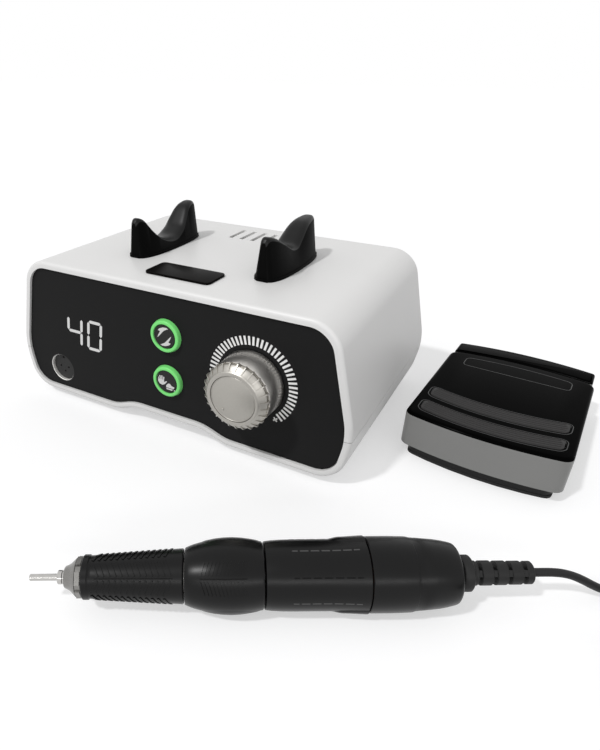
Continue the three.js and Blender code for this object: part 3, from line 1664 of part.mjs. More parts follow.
function cordAndPlug() {
  const route = cordRoute.map(([x, y, z]) => new THREE.Vector3(x, y, z));
  const section = Array.from({ length: cordSides }, (_, k) => {
    const angle = (turn * (k + 0.5)) / cordSides;
    return new THREE.Vector2(cord.radius * Math.cos(angle), cord.radius * Math.sin(angle));
  });
  const stretch = new THREE.ExtrudeGeometry(new THREE.Shape(section), {
    steps: cordSteps,
    bevelEnabled: false,
    extrudePath: new THREE.CatmullRomCurve3(route),
  });
  piece(handpieceGroup, 'handpiece_cord', stretch, finish.rubber);

  const wound = coilPath();
  const lead = new THREE.Vector3(-2 * cord.radius, 0, 0);
  const start = wound[0].clone();
  const shifted = wound.map((point) => point.clone().sub(lead));
  shifted.unshift(start);
  piece(handpieceGroup, 'handpiece_cord_coil', tube(shifted, cord.radius, coilSides), finish.rubber);
  console.log('coil length, mm:', pathLength(shifted).toFixed(1));
  console.log('free cord length, mm:', pathLength(route).toFixed(1));
  console.log('least gap of the coil to itself, mm:', leastGap(shifted, cord.radius, 6).toFixed(2));

  const innerRadius = coil.outerRadius - (coilTurns / coilLayers) * coil.pitch;
  const bundle = {
    left: innerRadius - cord.radius - tie.clearance,
    right: coil.outerRadius + cord.radius + tie.clearance,
    bottom: coil.bottomZ - cord.radius - tie.clearance,
    top: coil.bottomZ + (coilLayers - 1) * coil.pitch + cord.radius + tie.clearance,
  };
  const strap = cut(
    block(
      [bundle.left - tie.thickness, bundle.right + tie.thickness],
      [-tie.width / 2, tie.width / 2],
      [bundle.bottom - tie.thickness, bundle.top + tie.thickness],
    ),
    block([bundle.left, bundle.right], [-tie.width, tie.width], [bundle.bottom, bundle.top]),
  );
  const centreX = coil.entryX - lead.x;
  piece(handpieceGroup, 'cord_tie', strap.translate(centreX, -coil.outerRadius, 0), finish.blackPlastic);

  const tailEnd = shifted[shifted.length - 1];
  const tipY = plug.reliefLength + plug.length;
  const shoulderY = tipY - plug.tipLength;
  const tipRadius = socket.bore - fit.running;
  const plugBody = turned(
    [
      [0, 0],
      [plug.reliefRadius, 0],
      [plug.reliefEndRadius, plug.reliefLength],
      [plug.radius, plug.reliefLength],
      [plug.radius, plug.reliefLength + plug.gripStart],
      [plug.gripRadius, plug.reliefLength + plug.gripStart],
      [plug.gripRadius, plug.reliefLength + plug.gripEnd],
      [plug.radius, plug.reliefLength + plug.gripEnd],
      [plug.radius, shoulderY],
      [tipRadius, shoulderY],
      [tipRadius, tipY],
      [0, tipY],
    ],
    round.medium,
  );
  const pins = socketPinAngles.map((angle) => {
    const pin = rod(plug.pinRadius, tipY - fit.sink, tipY + plug.pinLength, round.tiny);
    return pin.translate(...onCircle(socket.pinCircle, angle));
  });
  const whole = join(plugBody, ...pins).rotateZ(turn / 4);
  whole.translate(tailEnd.x - fit.seat, tailEnd.y, tailEnd.z);
  piece(handpieceGroup, 'cord_plug', whole, finish.steel);
}

shells();
screwsAndFeet();
frontPanels();
displayAndBoard();
buttons();
speedControl();
motorSocket();
topBadge();
handpieceRests();
inside();
rearFittings();
footPedal();
handpieceFront();
handpieceMotor();
handpieceInside();

// The origin is the middle of the set's footprint on the bench, without the cord and its plug
const footprint = new THREE.Box3().setFromObject(set, true);
set.position.set(-(footprint.min.x + footprint.max.x) / 2, -(footprint.min.y + footprint.max.y) / 2, 0);
console.log('control unit stands at:', set.position.x.toFixed(4), set.position.y.toFixed(4));

cordAndPlug();

export default set;
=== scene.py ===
import math

import bmesh
import bpy
from mathutils import Matrix, Vector


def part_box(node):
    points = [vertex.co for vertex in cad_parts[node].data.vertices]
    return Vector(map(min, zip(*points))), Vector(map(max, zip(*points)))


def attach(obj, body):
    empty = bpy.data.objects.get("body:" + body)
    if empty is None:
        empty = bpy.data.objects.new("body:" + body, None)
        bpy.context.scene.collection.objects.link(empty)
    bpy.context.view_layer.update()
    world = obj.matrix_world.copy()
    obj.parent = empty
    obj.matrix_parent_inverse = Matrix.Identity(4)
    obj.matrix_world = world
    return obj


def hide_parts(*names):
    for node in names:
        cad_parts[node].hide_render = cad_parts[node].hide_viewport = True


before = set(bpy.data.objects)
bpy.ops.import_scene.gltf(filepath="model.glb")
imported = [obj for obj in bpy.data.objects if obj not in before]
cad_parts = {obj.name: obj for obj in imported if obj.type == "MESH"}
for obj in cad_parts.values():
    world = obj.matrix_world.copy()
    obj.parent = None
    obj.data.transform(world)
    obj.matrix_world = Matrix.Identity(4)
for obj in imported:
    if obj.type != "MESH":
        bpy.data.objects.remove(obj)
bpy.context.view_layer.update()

# The set stands on a bench: control unit, foot pedal and handpiece. All shapes are drawn in
# millimetres, in the frame of the thing that they belong to, and are set down in the model's
# metres at the end of their making.
shell_low, shell_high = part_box("bottom_shell")
unit_origin = Vector(((shell_low.x + shell_high.x) / 2, shell_low.y, 0))
UNIT = Matrix.Translation(unit_origin) @ Matrix.Scale(0.001, 4)

# The photographer's camera: it looks down on the unit's front right corner, with the frame
# shifted to the right.
camera_place = Vector((150.103, -202.369, 167.097))
camera_azimuth, camera_elevation = math.radians(30.648), math.radians(30.22)
camera_data = bpy.data.cameras.new("bench_camera")
camera_data.sensor_width, camera_data.lens = 36, 28.053
camera_data.shift_x, camera_data.shift_y = 0.109316, 0.028455
camera_data.clip_start, camera_data.clip_end = 0.01, 50


def add_object(name, data):
    """A new object in the scene."""
    added = bpy.data.objects.new(name, data)
    bpy.context.scene.collection.objects.link(added)
    return added


backwards = Vector((
    math.sin(camera_azimuth) * math.cos(camera_elevation),
    -math.cos(camera_azimuth) * math.cos(camera_elevation),
    math.sin(camera_elevation),
))
bench_camera = add_object("bench_camera", camera_data)
bench_camera.location = UNIT @ camera_place
bench_camera.rotation_euler = (-backwards).to_track_quat("-Z", "Y").to_euler()
bpy.context.scene.camera = bench_camera
bpy.context.scene.view_settings.view_transform = "Standard"

# The handpiece cord: a limp black rubber lead, 3 mm thick and about 1.5 m long. It lies straight
# behind the handpiece, and the rest is wound into four layers of loops past the right edge of the
# view.
handpiece_turn = math.radians(31.39)
HANDPIECE = UNIT @ Matrix.Translation((22.6, -113.4, 0)) @ Matrix.Rotation(handpiece_turn, 4, "Z")
AXIS_Z = 13
cord_radius, relief_end = 1.5, 172
cord_route = [
    (172.3, 0, 13), (176, 0, 13), (180, 0, 12.9), (184, 0, 12.3), (188, 0, 10.9), (192, 0, 8.8),
    (196, 0, 6.4), (200, 0, 4.3), (204, 0, 2.9), (208, 0, 2.2), (212, 0, 2), (216, 0, 2.1),
    (220, 0, 2.3), (223, 0, 2.4), (226, 0, 2.4), (229, 0, 2.4),
]
coil_entry, coil_radius, coil_pitch, coil_low = 229.3, 22.9, 3.5, 2.4
coil_turns, coil_layers, coil_steps = 13.5, 4, 24
coil_lead = 3


def eased(value, start, end):
    """0 before the start, 1 past the end, and a soft rise between."""
    share = min(max((value - start) / (end - start), 0), 1)
    return share * share * (3 - 2 * share)


def coil_points():
    """The wound part of the cord: flat spirals, one upon the other, in and out by turns."""
    per_layer = coil_turns / coil_layers
    points = []
    for i in range(int(coil_turns * coil_steps) + 1):
        at = i / coil_steps
        layer = min(int(at / per_layer), coil_layers - 1)
        along = at - layer * per_layer
        inwards = along if layer % 2 == 0 else per_layer - along
        radius = coil_radius - inwards * coil_pitch
        nearest = round(at / per_layer)
        height = layer
        if 0 < nearest < coil_layers:
            border = nearest * per_layer
            height = nearest - 1 + eased(at, border - 0.25, border + 0.25)
        angle = math.radians(90 - 360 * at)
        points.append(Vector((
            coil_entry + radius * math.cos(angle),
            -coil_radius + radius * math.sin(angle),
            coil_low + height * coil_pitch,
        )))
    return points


wound = coil_points()
wound_end = wound[-1].copy()
plug_axis_z = 8.9
tail_length, tail_slip, tail_steps = 22, 3.4, 8
for i in range(1, tail_steps + 1):
    share = i / tail_steps
    wound.append(Vector((
        wound_end.x - tail_length * share,
        wound_end.y - tail_slip * eased(share, 0, 0.7),
        wound_end.z + (plug_axis_z - wound_end.z) * eased(share, 0.25, 0.85),
    )))
lead_start = wound[0].copy()
wound = [lead_start] + [point + Vector((coil_lead, 0, 0)) for point in wound]
cord_points = [Vector(point) for point in cord_route] + wound


def add_node(nodes, kind, values=()):
    """A shader node with some of its inputs set."""
    added = nodes.new(f"ShaderNode{kind}")
    for socket, value in dict(values).items():
        added.inputs[socket].default_value = value
    return added


def wire(links, *wires):
    """Join shader nodes: each wire goes from a node's output to another node's input."""
    for source, output, target, socket in wires:
        links.new(source.outputs[output], target.inputs[socket])


def finish(name, shader_values, colour, shades, ends, shine, clouds, grain, bump, stretch=None):
    """A finish: broad clouds drive its tone and shine, and a fine grain its bump. A stretched
    grain runs in lines, and drives the tone too."""
    material = bpy.data.materials.new(name)
    material.use_nodes = True
    nodes, links = material.node_tree.nodes, material.node_tree.links
    shader = nodes["Principled BSDF"]
    for socket, value in shader_values.items():
        shader.inputs[socket].default_value = value
    place = add_node(nodes, "TexCoord")
    broad = add_node(nodes, "TexNoise", {"Scale": clouds[0], "Detail": clouds[1]})
    fine = add_node(nodes, "TexNoise", {"Scale": grain[0], "Detail": grain[1]})
    tone = add_node(nodes, "ValToRGB")
    for stop, end, shade in zip(tone.color_ramp.elements, ends, shades):
        stop.position = end
        stop.color = (*[c * shade for c in colour], 1)
    gloss = add_node(nodes, "MapRange", {
        "From Min": ends[0], "From Max": ends[1], "To Min": shine[0], "To Max": shine[1],
    })
    relief = add_node(nodes, "Bump", {"Strength": bump[0], "Distance": bump[1]})
    wire(
        links, (place, "Object", broad, "Vector"), (place, "Object", fine, "Vector"),
        (broad, "Fac", gloss, "Value"), (gloss, "Result", shader, "Roughness"),
        (fine if stretch else broad, "Fac", tone, "Fac"), (tone, "Color", shader, "Base Color"),
        (fine, "Fac", relief, "Height"), (relief, "Normal", shader, "Normal"),
    )
    if stretch:
        lines = add_node(nodes, "Mapping", {"Scale": stretch})
        wire(links, (place, "Object", lines, "Vector"), (lines, "Vector", fine, "Vector"))
    return material


def rubber(name, colour, roughness, grain):
    """Matt rubber or soft plastic: fine pores, faint smudges, no clear shine."""
    return finish(
        name, {"Specular IOR Level": 0.25}, colour, (0.8, 1.25), (0, 1),
        (roughness - 0.06, roughness + 0.06), (60, 5), (grain, 3), (0.12, 0.0001),
    )


cord_rubber = rubber("cord_rubber", (0.012, 0.012, 0.0125), 0.55, 2600)
cord_curve = bpy.data.curves.new("handpiece_lead", "CURVE")
cord_curve.dimensions = "3D"
cord_curve.bevel_depth = cord_radius / 1000
cord_curve.bevel_resolution = 3
cord_curve.resolution_u = 4
cord_curve.use_fill_caps = True
cord_line = cord_curve.splines.new("BEZIER")
cord_line.bezier_points.add(len(cord_points) - 1)
for knot, point in zip(cord_line.bezier_points, cord_points):
    knot.co = HANDPIECE @ point
    knot.handle_left_type = knot.handle_right_type = "AUTO"
cord_curve.materials.append(cord_rubber)
handpiece_lead = add_object("handpiece_lead", cord_curve)
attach(handpiece_lead, "set")
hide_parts("handpiece_cord", "handpiece_cord_coil")

# The bench: one wide sheet of pale board, which keeps the shadows. It looks white to the camera
# and to shiny metal, and lights the undersides of things as a mid grey board does.
bench_half, bench_sink, bench_glow = 4, 0.0002, 0.46
bench_mesh = bmesh.new()
bmesh.ops.create_grid(bench_mesh, x_segments=4, y_segments=4, size=bench_half)
bmesh.ops.translate(bench_mesh, verts=bench_mesh.verts, vec=(0, 0, -bench_sink))
bench_data = bpy.data.meshes.new("bench")
bench_mesh.to_mesh(bench_data)
bench_mesh.free()
bench = add_object("bench", bench_data)


def seen_directly(nodes, links):
    """A node that says 1 for what the camera, shiny metal or glass sees, and 0 for light that
    bounces softly."""
    path = add_node(nodes, "LightPath")
    shiny, seen = add_node(nodes, "Math"), add_node(nodes, "Math")
    shiny.operation = seen.operation = "MAXIMUM"
    wire(
        links, (path, "Is Glossy Ray", shiny, 0), (path, "Is Transmission Ray", shiny, 1),
        (path, "Is Camera Ray", seen, 0), (shiny, 0, seen, 1),
    )
    return seen


board = bpy.data.materials.new("bench_board")
board.use_nodes = True
nodes, links = board.node_tree.nodes, board.node_tree.links
nodes.clear()
board_out = add_node(nodes, "OutputMaterial")
board_diffuse = add_node(nodes, "BsdfDiffuse", {"Color": (0.6, 0.6, 0.605, 1)})
board_glow = add_node(nodes, "Emission", {"Strength": bench_glow})
board_sum = add_node(nodes, "AddShader")
board_mix = add_node(nodes, "MixShader")
wire(
    links, (board_diffuse, 0, board_sum, 0), (board_glow, 0, board_sum, 1),
    (seen_directly(nodes, links), 0, board_mix, 0), (board_diffuse, 0, board_mix, 1),
    (board_sum, 0, board_mix, 2), (board_mix, 0, board_out, "Surface"),
)
bench_data.materials.append(board)

# The light: a white sky all round, one key lamp high on the left in front of the unit, and a long
# weak strip lamp low behind the camera, which draws a soft line of light along the handpiece.
sky_level, key_level, key_spread = 0.55, 1.45, math.radians(4)
key_towards = Vector((-0.28, -0.55, 0.79))
strip_level, strip_length, strip_height, strip_distance = 1.2, 0.9, 0.05, 700
strip_aim, strip_towards = Vector((100, -66, 13)), Vector((0.472, -0.774, 0.423)).normalized()
studio = bpy.data.worlds.new("studio")
studio.use_nodes = True
nodes, links = studio.node_tree.nodes, studio.node_tree.links
nodes.clear()
sky_out = add_node(nodes, "OutputWorld")
sky_soft = add_node(nodes, "Background", {"Color": (1, 1, 1, 1), "Strength": sky_level})
sky_white = add_node(nodes, "Background", {"Color": (1, 1, 1, 1), "Strength": 1})
sky_mix = add_node(nodes, "MixShader")
wire(
    links, (seen_directly(nodes, links), 0, sky_mix, 0), (sky_soft, 0, sky_mix, 1),
    (sky_white, 0, sky_mix, 2), (sky_mix, 0, sky_out, "Surface"),
)
bpy.context.scene.world = studio

key_data = bpy.data.lights.new("key_lamp", "SUN")
key_data.energy, key_data.angle = key_level, key_spread
key_lamp = add_object("key_lamp", key_data)
key_lamp.rotation_euler = key_towards.to_track_quat("Z", "Y").to_euler()
strip_along = Vector((math.cos(handpiece_turn), math.sin(handpiece_turn), 0))
strip_axes = Matrix((strip_along, strip_towards.cross(strip_along), strip_towards))
strip_data = bpy.data.lights.new("strip_lamp", "AREA")
strip_data.shape = "RECTANGLE"
strip_data.size, strip_data.size_y = strip_length, strip_height
strip_data.energy = strip_level
strip_lamp = add_object("strip_lamp", strip_data)
strip_lamp.location = UNIT @ (strip_aim + strip_towards * strip_distance)
strip_lamp.rotation_euler = strip_axes.transposed().to_euler()

# The housing: two moulded shells of satin white plastic, screwed together from below. They meet
# in a parting line a quarter of the way up, and their front and rear edges are rounded over.
housing_corners = [
    (20.5, 7.9, 22), (33, 3.3, 22), (91.55, 3.3, 14), (96.2, 28.4, 35), (84.2, 77.8, 15),
]
housing_corners += [(-x, z, radius) for x, z, radius in reversed(housing_corners)]
housing_depth, housing_wall, housing_rim = 122, 3, 3.4
front_edge, rear_edge, rear_lip = 1.8, 8, 12
parting_z, parting_gap = 26.2, 0.35
vent_count, vent_pitch, vent_width, vent_rear, vent_length = 5, 6.8, 2.4, 105.8, 18


def rounded_plate(corners, segments=8):
    """One flat face with rounded corners, drawn as x, y and corner radius."""
    bm = bmesh.new()
    places = [Vector((x, y, 0)) for x, y, radius in corners]
    points = [bm.verts.new(place) for place in places]
    bm.faces.new(points)
    for i, (x, y, radius) in enumerate(corners):
        if radius:
            following = places[(i + 1) % len(places)]
            turning = (places[i] - places[i - 1]).angle(following - places[i])
            bmesh.ops.bevel(
                bm, geom=[points[i]], affect="VERTICES", offset=radius * math.tan(turning / 2),
                offset_type="OFFSET", segments=segments, profile=0.5, material=-1,
                clamp_overlap=False,
            )
    return bm


def new_points(grown):
    """The points that an extrusion has made."""
    return [item for item in grown["geom"] if isinstance(item, bmesh.types.BMVert)]


def edges_at(bm, test):
    """The edges whose two ends both pass a test."""
    return [edge for edge in bm.edges if all(test(vert.co) for vert in edge.verts)]


def round_edges(bm, edges, radius, segments):
    """Round over some edges."""
    bmesh.ops.bevel(
        bm, geom=edges, affect="EDGES", offset=radius, offset_type="OFFSET", segments=segments,
        profile=0.5, material=-1, clamp_overlap=False,
    )


def set_down(name, bm, place, body, *materials, sharp=35):
    """Set a piece in its place, shade its curves smooth and keep its real edges crisp."""
    bmesh.ops.transform(bm, matrix=place, verts=bm.verts)
    for face in bm.faces:
        face.smooth = True
    for edge in bm.edges:
        edge.smooth = edge.is_manifold and edge.calc_face_angle() < math.radians(sharp)
    mesh = bpy.data.meshes.new(name)
    bm.to_mesh(mesh)
    bm.free()
    for material in materials:
        mesh.materials.append(material)
    piece = add_object(name, mesh)
    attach(piece, body)
    return piece


def moulded(name, colour, roughness=0.4, spread=0.02, grain=900, depth=0.05, specular=0.5):
    """Moulded plastic: a slight drift of tone, a fine grain, and handling marks in the shine."""
    return finish(
        name, {"Specular IOR Level": specular}, colour, (1 - spread, 1 + spread), (0.3, 0.7),
        (roughness - 0.04, roughness + 0.04), (28, 4), (grain, 2), (depth, 0.0002),
    )


def housing_skin():
    """The outside of the whole housing, from its front lip to its rear lip, as one thin sheet."""
    bm = rounded_plate(housing_corners, 10)
    bmesh.ops.rotate(bm, verts=bm.verts, matrix=Matrix.Rotation(math.radians(90), 3, "X"))
    front = bm.faces[:][0]
    if front.normal.y > 0:
        bmesh.ops.reverse_faces(bm, faces=[front])
    grown = bmesh.ops.extrude_face_region(bm, geom=[front])
    bmesh.ops.translate(bm, verts=new_points(grown), vec=(0, housing_depth, 0))
    bmesh.ops.recalc_face_normals(bm, faces=bm.faces)
    round_edges(bm, edges_at(bm, lambda co: co.y < 0.01), front_edge, 4)
    round_edges(bm, edges_at(bm, lambda co: co.y > housing_depth - 0.01), rear_edge, 8)
    ends = [face for face in bm.faces if abs(face.normal.y) > 0.999]
    front = min(ends, key=lambda face: face.calc_center_median().y)
    rear = max(ends, key=lambda face: face.calc_center_median().y)
    for end, lip in ((front, housing_rim - front_edge), (rear, rear_lip - rear_edge)):
        bmesh.ops.inset_region(bm, faces=[end], thickness=lip, use_even_offset=True)
    bmesh.ops.delete(bm, geom=[front, rear], context="FACES_ONLY")
    return bm


def cut_across(bm, faces, point, normal):
    """Score a line across some faces, without taking anything away."""
    geom = set(faces)
    for face in faces:
        geom.update(face.edges)
        geom.update(face.verts)
    bmesh.ops.bisect_plane(bm, geom=list(geom), dist=0.0001, plane_co=point, plane_no=normal)


def vent_slots(bm):
    """Five slots through the rear of the roof."""
    def roof():
        return [face for face in bm.faces if face.normal.z > 0.999]

    first = -(vent_count - 1) / 2 * vent_pitch
    for y in (vent_rear - vent_length, vent_rear):
        cut_across(bm, roof(), (0, y, 0), (0, 1, 0))
    for i in range(vent_count):
        for side in (-1, 1):
            x = first + i * vent_pitch + side * vent_width / 2
            cut_across(bm, roof(), (x, 0, 0), (1, 0, 0))
    slots = []
    for face in roof():
        middle = face.calc_center_median()
        nearest = round((middle.x - first) / vent_pitch)
        inside = abs(middle.x - first - nearest * vent_pitch) < vent_width / 2
        between = vent_rear - vent_length < middle.y < vent_rear
        if 0 <= nearest < vent_count and inside and between:
            slots.append(face)
    bmesh.ops.delete(bm, geom=slots, context="FACES")


white_plastic = moulded("white_plastic", (0.735, 0.731, 0.725), 0.42, 0.012, 1500, 0.04)


def add_wall(piece, thickness):
    """Give a thin sheet its wall, inwards."""
    wall = piece.modifiers.new("wall", "SOLIDIFY")
    wall.thickness = thickness / 1000
    wall.offset = -1
    wall.use_even_offset = True
    wall.use_quality_normals = True


for name, keep_above in (("top_shell", True), ("bottom_shell", False)):
    bm = housing_skin()
    if keep_above:
        vent_slots(bm)
    cut_z = parting_z if keep_above else parting_z - parting_gap
    bmesh.ops.bisect_plane(
        bm, geom=bm.verts[:] + bm.edges[:] + bm.faces[:], dist=0.0001,
        plane_co=(0, 0, cut_z), plane_no=(0, 0, 1),
        clear_inner=keep_above, clear_outer=not keep_above,
    )
    shell = set_down(f"{name}_moulding", bm, UNIT, "set", white_plastic)
    add_wall(shell, housing_wall)
    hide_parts(name)

# The dust screen: a pale moulded plate that hangs just under the slots and keeps grinding dust
# off the boards.
screen_half, screen_front, screen_rear, screen_corner = 19, 84, 108, 2
screen_z, screen_thickness = 72.4, 1.2


def oblong(half, front, rear, radius):
    """The corners of an oblong plate, all with one radius."""
    return [(x, y, radius) for x, y in ((-half, front), (half, front), (half, rear), (-half, rear))]


def thicken(bm, height, low=0):
    """Lift a flat plate to its level and pull its faces up into a solid block."""
    bmesh.ops.translate(bm, verts=bm.verts, vec=(0, 0, low))
    grown = bmesh.ops.extrude_face_region(bm, geom=bm.faces[:])
    bmesh.ops.translate(bm, verts=new_points(grown), vec=(0, 0, height))
    bmesh.ops.recalc_face_normals(bm, faces=bm.faces)


def round_top(bm, top, radius, segments):
    """Round over the rim of a block's flat top."""
    round_edges(bm, edges_at(bm, lambda co: co.z > top - 0.01), radius, segments)


screen_plate = rounded_plate(oblong(screen_half, screen_front, screen_rear, screen_corner), 4)
thicken(screen_plate, screen_thickness)
round_top(screen_plate, screen_thickness, 0.2, 2)
screen_place = UNIT @ Matrix.Translation((0, 0, screen_z))
set_down("dust_screen", screen_plate, screen_place, "set", white_plastic)

# The front panel: a flat plate behind a thin printed film of matt black polyester, glued into the
# front lip.
film_front_y = 1.2
film_black = moulded("film_black", (0.0125, 0.0125, 0.0127), 0.55, 0.05, 3000, 0.02, 0.06)
panel_black = moulded("panel_black", (0.012, 0.012, 0.012), 0.5, 0.1, 1200, 0.05, 0.2)


def refinish(material, *names):
    """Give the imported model's own pieces their real finish."""
    for name in names:
        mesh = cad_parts[name].data
        if not mesh.materials:
            mesh.materials.append(material)
        for i in range(len(mesh.materials)):
            mesh.materials[i] = material


refinish(film_black, "panel_film")
refinish(panel_black, "front_panel")

# The display: two seven-segment digits that shine through the film, grey-white and cut to points
# at their ends.
lit_white = moulded("lit_white", (0.7, 0.7, 0.695), 0.5, 0.01, 2000, 0.01, specular=0.2)
ink_depth = 0.06
UPRIGHT = Matrix.Rotation(math.radians(90), 4, "X")
FILM_FACE = UNIT @ Matrix.Translation((0, film_front_y, 0)) @ UPRIGHT
digit_bottom, digit_top = 34.4, 51.3
digit_sides = {"four": (-62.5, -52), "zero": (-48.9, -39.1)}
segment_width, segment_gap, digit_slant = 1.6, 0.24, 0.14


def drawn(bm, points, height):
    """Add one flat shape to a mesh, drawn by its corners, and give it a thin body."""
    face = bm.faces.new([bm.verts.new((x, y, 0)) for x, y in points])
    if face.normal.z < 0:
        bmesh.ops.reverse_faces(bm, faces=[face])
    grown = bmesh.ops.extrude_face_region(bm, geom=[face])
    bmesh.ops.translate(bm, verts=new_points(grown), vec=(0, 0, height))


def segment(bm, start, end):
    """One bar of a digit, a long hexagon between two points."""
    start, end = Vector(start), Vector(end)
    along = (end - start).normalized()
    across = Vector((-along.y, along.x)) * segment_width / 2
    start, end = start + along * segment_gap, end - along * segment_gap
    tip = along * segment_width / 2
    corners = [
        start, start + tip - across, end - tip - across, end, end - tip + across,
        start + tip + across,
    ]
    drawn(bm, [tuple(corner) for corner in corners], ink_depth)


digits = bmesh.new()
half_segment = segment_width / 2
low_z, high_z = digit_bottom + half_segment, digit_top - half_segment
middle_z = (low_z + high_z) / 2
(four_left, four_right), (zero_left, zero_right) = (
    (left + half_segment, right - half_segment) for left, right in digit_sides.values()
)
for start, end in (
    ((four_left, middle_z), (four_left, high_z)),
    ((four_right, middle_z), (four_right, high_z)),
    ((four_left, middle_z), (four_right, middle_z)),
    ((four_right, low_z), (four_right, middle_z)),
    ((zero_left, low_z), (zero_left, middle_z)),
    ((zero_left, middle_z), (zero_left, high_z)),
    ((zero_right, low_z), (zero_right, middle_z)),
    ((zero_right, middle_z), (zero_right, high_z)),
    ((zero_left, low_z), (zero_right, low_z)),
    ((zero_left, high_z), (zero_right, high_z)),
):
    segment(digits, start, end)
for point in digits.verts:
    point.co.x += digit_slant * (point.co.y - middle_z)
set_down("display_digits", digits, FILM_FACE, "set", lit_white)

# The speed scale: a ring of printed white ticks round three quarters of the knob, with a small
# cross at its end.
knob_x, knob_z = 47.1, 41.8
tick_inner, tick_outer, tick_width = 17.9, 22, 1.02
tick_first, tick_pitch, tick_count = -45, 5.87, 46
cross_angle, cross_radius, cross_length, cross_width = -52, 19.9, 2.5, 0.62
ink_white = moulded("ink_white", (0.8, 0.8, 0.795), 0.5, 0.01, 2500, 0.01, specular=0.2)
ticks = bmesh.new()
for i in range(tick_count):
    turned_to = Matrix.Rotation(math.radians(tick_first + i * tick_pitch), 4, "Z")
    middle = Matrix.Translation(((tick_inner + tick_outer) / 2, 0, ink_depth / 2))
    size = Matrix.Diagonal((tick_outer - tick_inner, tick_width, ink_depth, 1))
    bmesh.ops.create_cube(ticks, size=1, matrix=turned_to @ middle @ size)
cross_turn = Matrix.Rotation(math.radians(cross_angle), 4, "Z")
cross = cross_turn @ Matrix.Translation((cross_radius, 0, ink_depth / 2))
for angle in (0, 90):
    size = Matrix.Diagonal((cross_length, cross_width, ink_depth, 1))
    bar = Matrix.Rotation(math.radians(angle), 4, "Z") @ size
    bmesh.ops.create_cube(ticks, size=1, matrix=cross @ bar)
tick_place = FILM_FACE @ Matrix.Translation((knob_x, knob_z, 0))
set_down("speed_ticks", ticks, tick_place, "set", ink_white)

# The two push buttons: green rings pressed into the panel, each with a dished black cap that goes
# in.
button_x, button_heights = 1.5, {"direction": 54, "mode": 30}
cap_face = -0.7
ring_profile = [
    (1.15, 7.9), (1.15, 8.3), (1.0, 8.3), (-0.3, 7.98), (-0.75, 7.85), (-1.0, 7.6), (-1.1, 7.25),
    (-1.1, 6.6), (-1.02, 6.32), (-0.8, 6.2), (5, 6.2), (5, 7.9),
]
cap_profile = [
    (6.3, 0), (6.3, 7.4), (5.3, 7.4), (5.3, 5.9), (-0.4, 5.92), (-0.66, 5.82), (-0.8, 5.55),
    (-0.84, 5.2), (-0.76, 4.95), (cap_face, 4.9), (cap_face, 0),
]


def turned(profile, closed=False, steps=96):
    """Spin a profile, drawn as places along the axis and radii, once round the x axis."""
    bm = bmesh.new()
    points = [bm.verts.new((along, radius, 0)) for along, radius in profile]
    pairs = list(zip(points, points[1:]))
    if closed:
        pairs.append((points[-1], points[0]))
    lines = [bm.edges.new(pair) for pair in pairs]
    bmesh.ops.spin(
        bm, geom=points + lines, axis=(1, 0, 0), cent=(0, 0, 0), angle=math.tau, steps=steps,
        use_merge=True,
    )
    bmesh.ops.remove_doubles(bm, verts=bm.verts, dist=0.0005)
    bmesh.ops.recalc_face_normals(bm, faces=bm.faces)
    return bm


def facing_front(x, z):
    """Where a turned piece goes whose axis runs into the panel."""
    return UNIT @ Matrix.Translation((x, 0, z)) @ Matrix.Rotation(math.radians(90), 4, "Z")


green_plastic = moulded("green_plastic", (0.2, 0.76, 0.2), 0.35, 0.03, 1500, 0.03, 0.4)
cap_black = moulded("cap_black", (0.02, 0.02, 0.0195), 0.45, 0.06, 2000, 0.04, 0.15)
for name, height in button_heights.items():
    place = facing_front(button_x, height)
    ring = set_down(f"{name}_ring", turned(ring_profile, closed=True), place, "set", green_plastic)
    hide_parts(f"{name}_button_ring")
    cap = set_down(f"{name}_cap", turned(cap_profile), place, f"{name}_key", cap_black)
    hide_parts(f"{name}_button")

# The signs printed on the caps: two bent arrows for the turning direction, and a hand and a shoe
# for hand or foot control.
sign_grey = moulded("sign_grey", (0.66, 0.66, 0.65), 0.5, 0.02, 2500, 0.01, 0.2)
arrow_outline = [
    (-4.05, -1.1), (-3.3, 0.6), (-2.2, 2.4), (-3.5, 2.8), (-2.5, 3.8), (-0.6, 4.6), (1.4, 4.8),
    (3.2, 4.7), (1.6, 4.0), (0, 3.1), (-1.2, 1.9), (-2.7, 0.2),
]


def sign_place(button):
    """Where a sign goes on the face of its button."""
    return UNIT @ Matrix.Translation((button_x, cap_face, button_heights[button])) @ UPRIGHT


direction_sign = bmesh.new()
drawn(direction_sign, arrow_outline, ink_depth)
drawn(direction_sign, [(-x, -y) for x, y in arrow_outline], ink_depth)
set_down("direction_sign", direction_sign, sign_place("direction"), "direction_key", sign_grey)

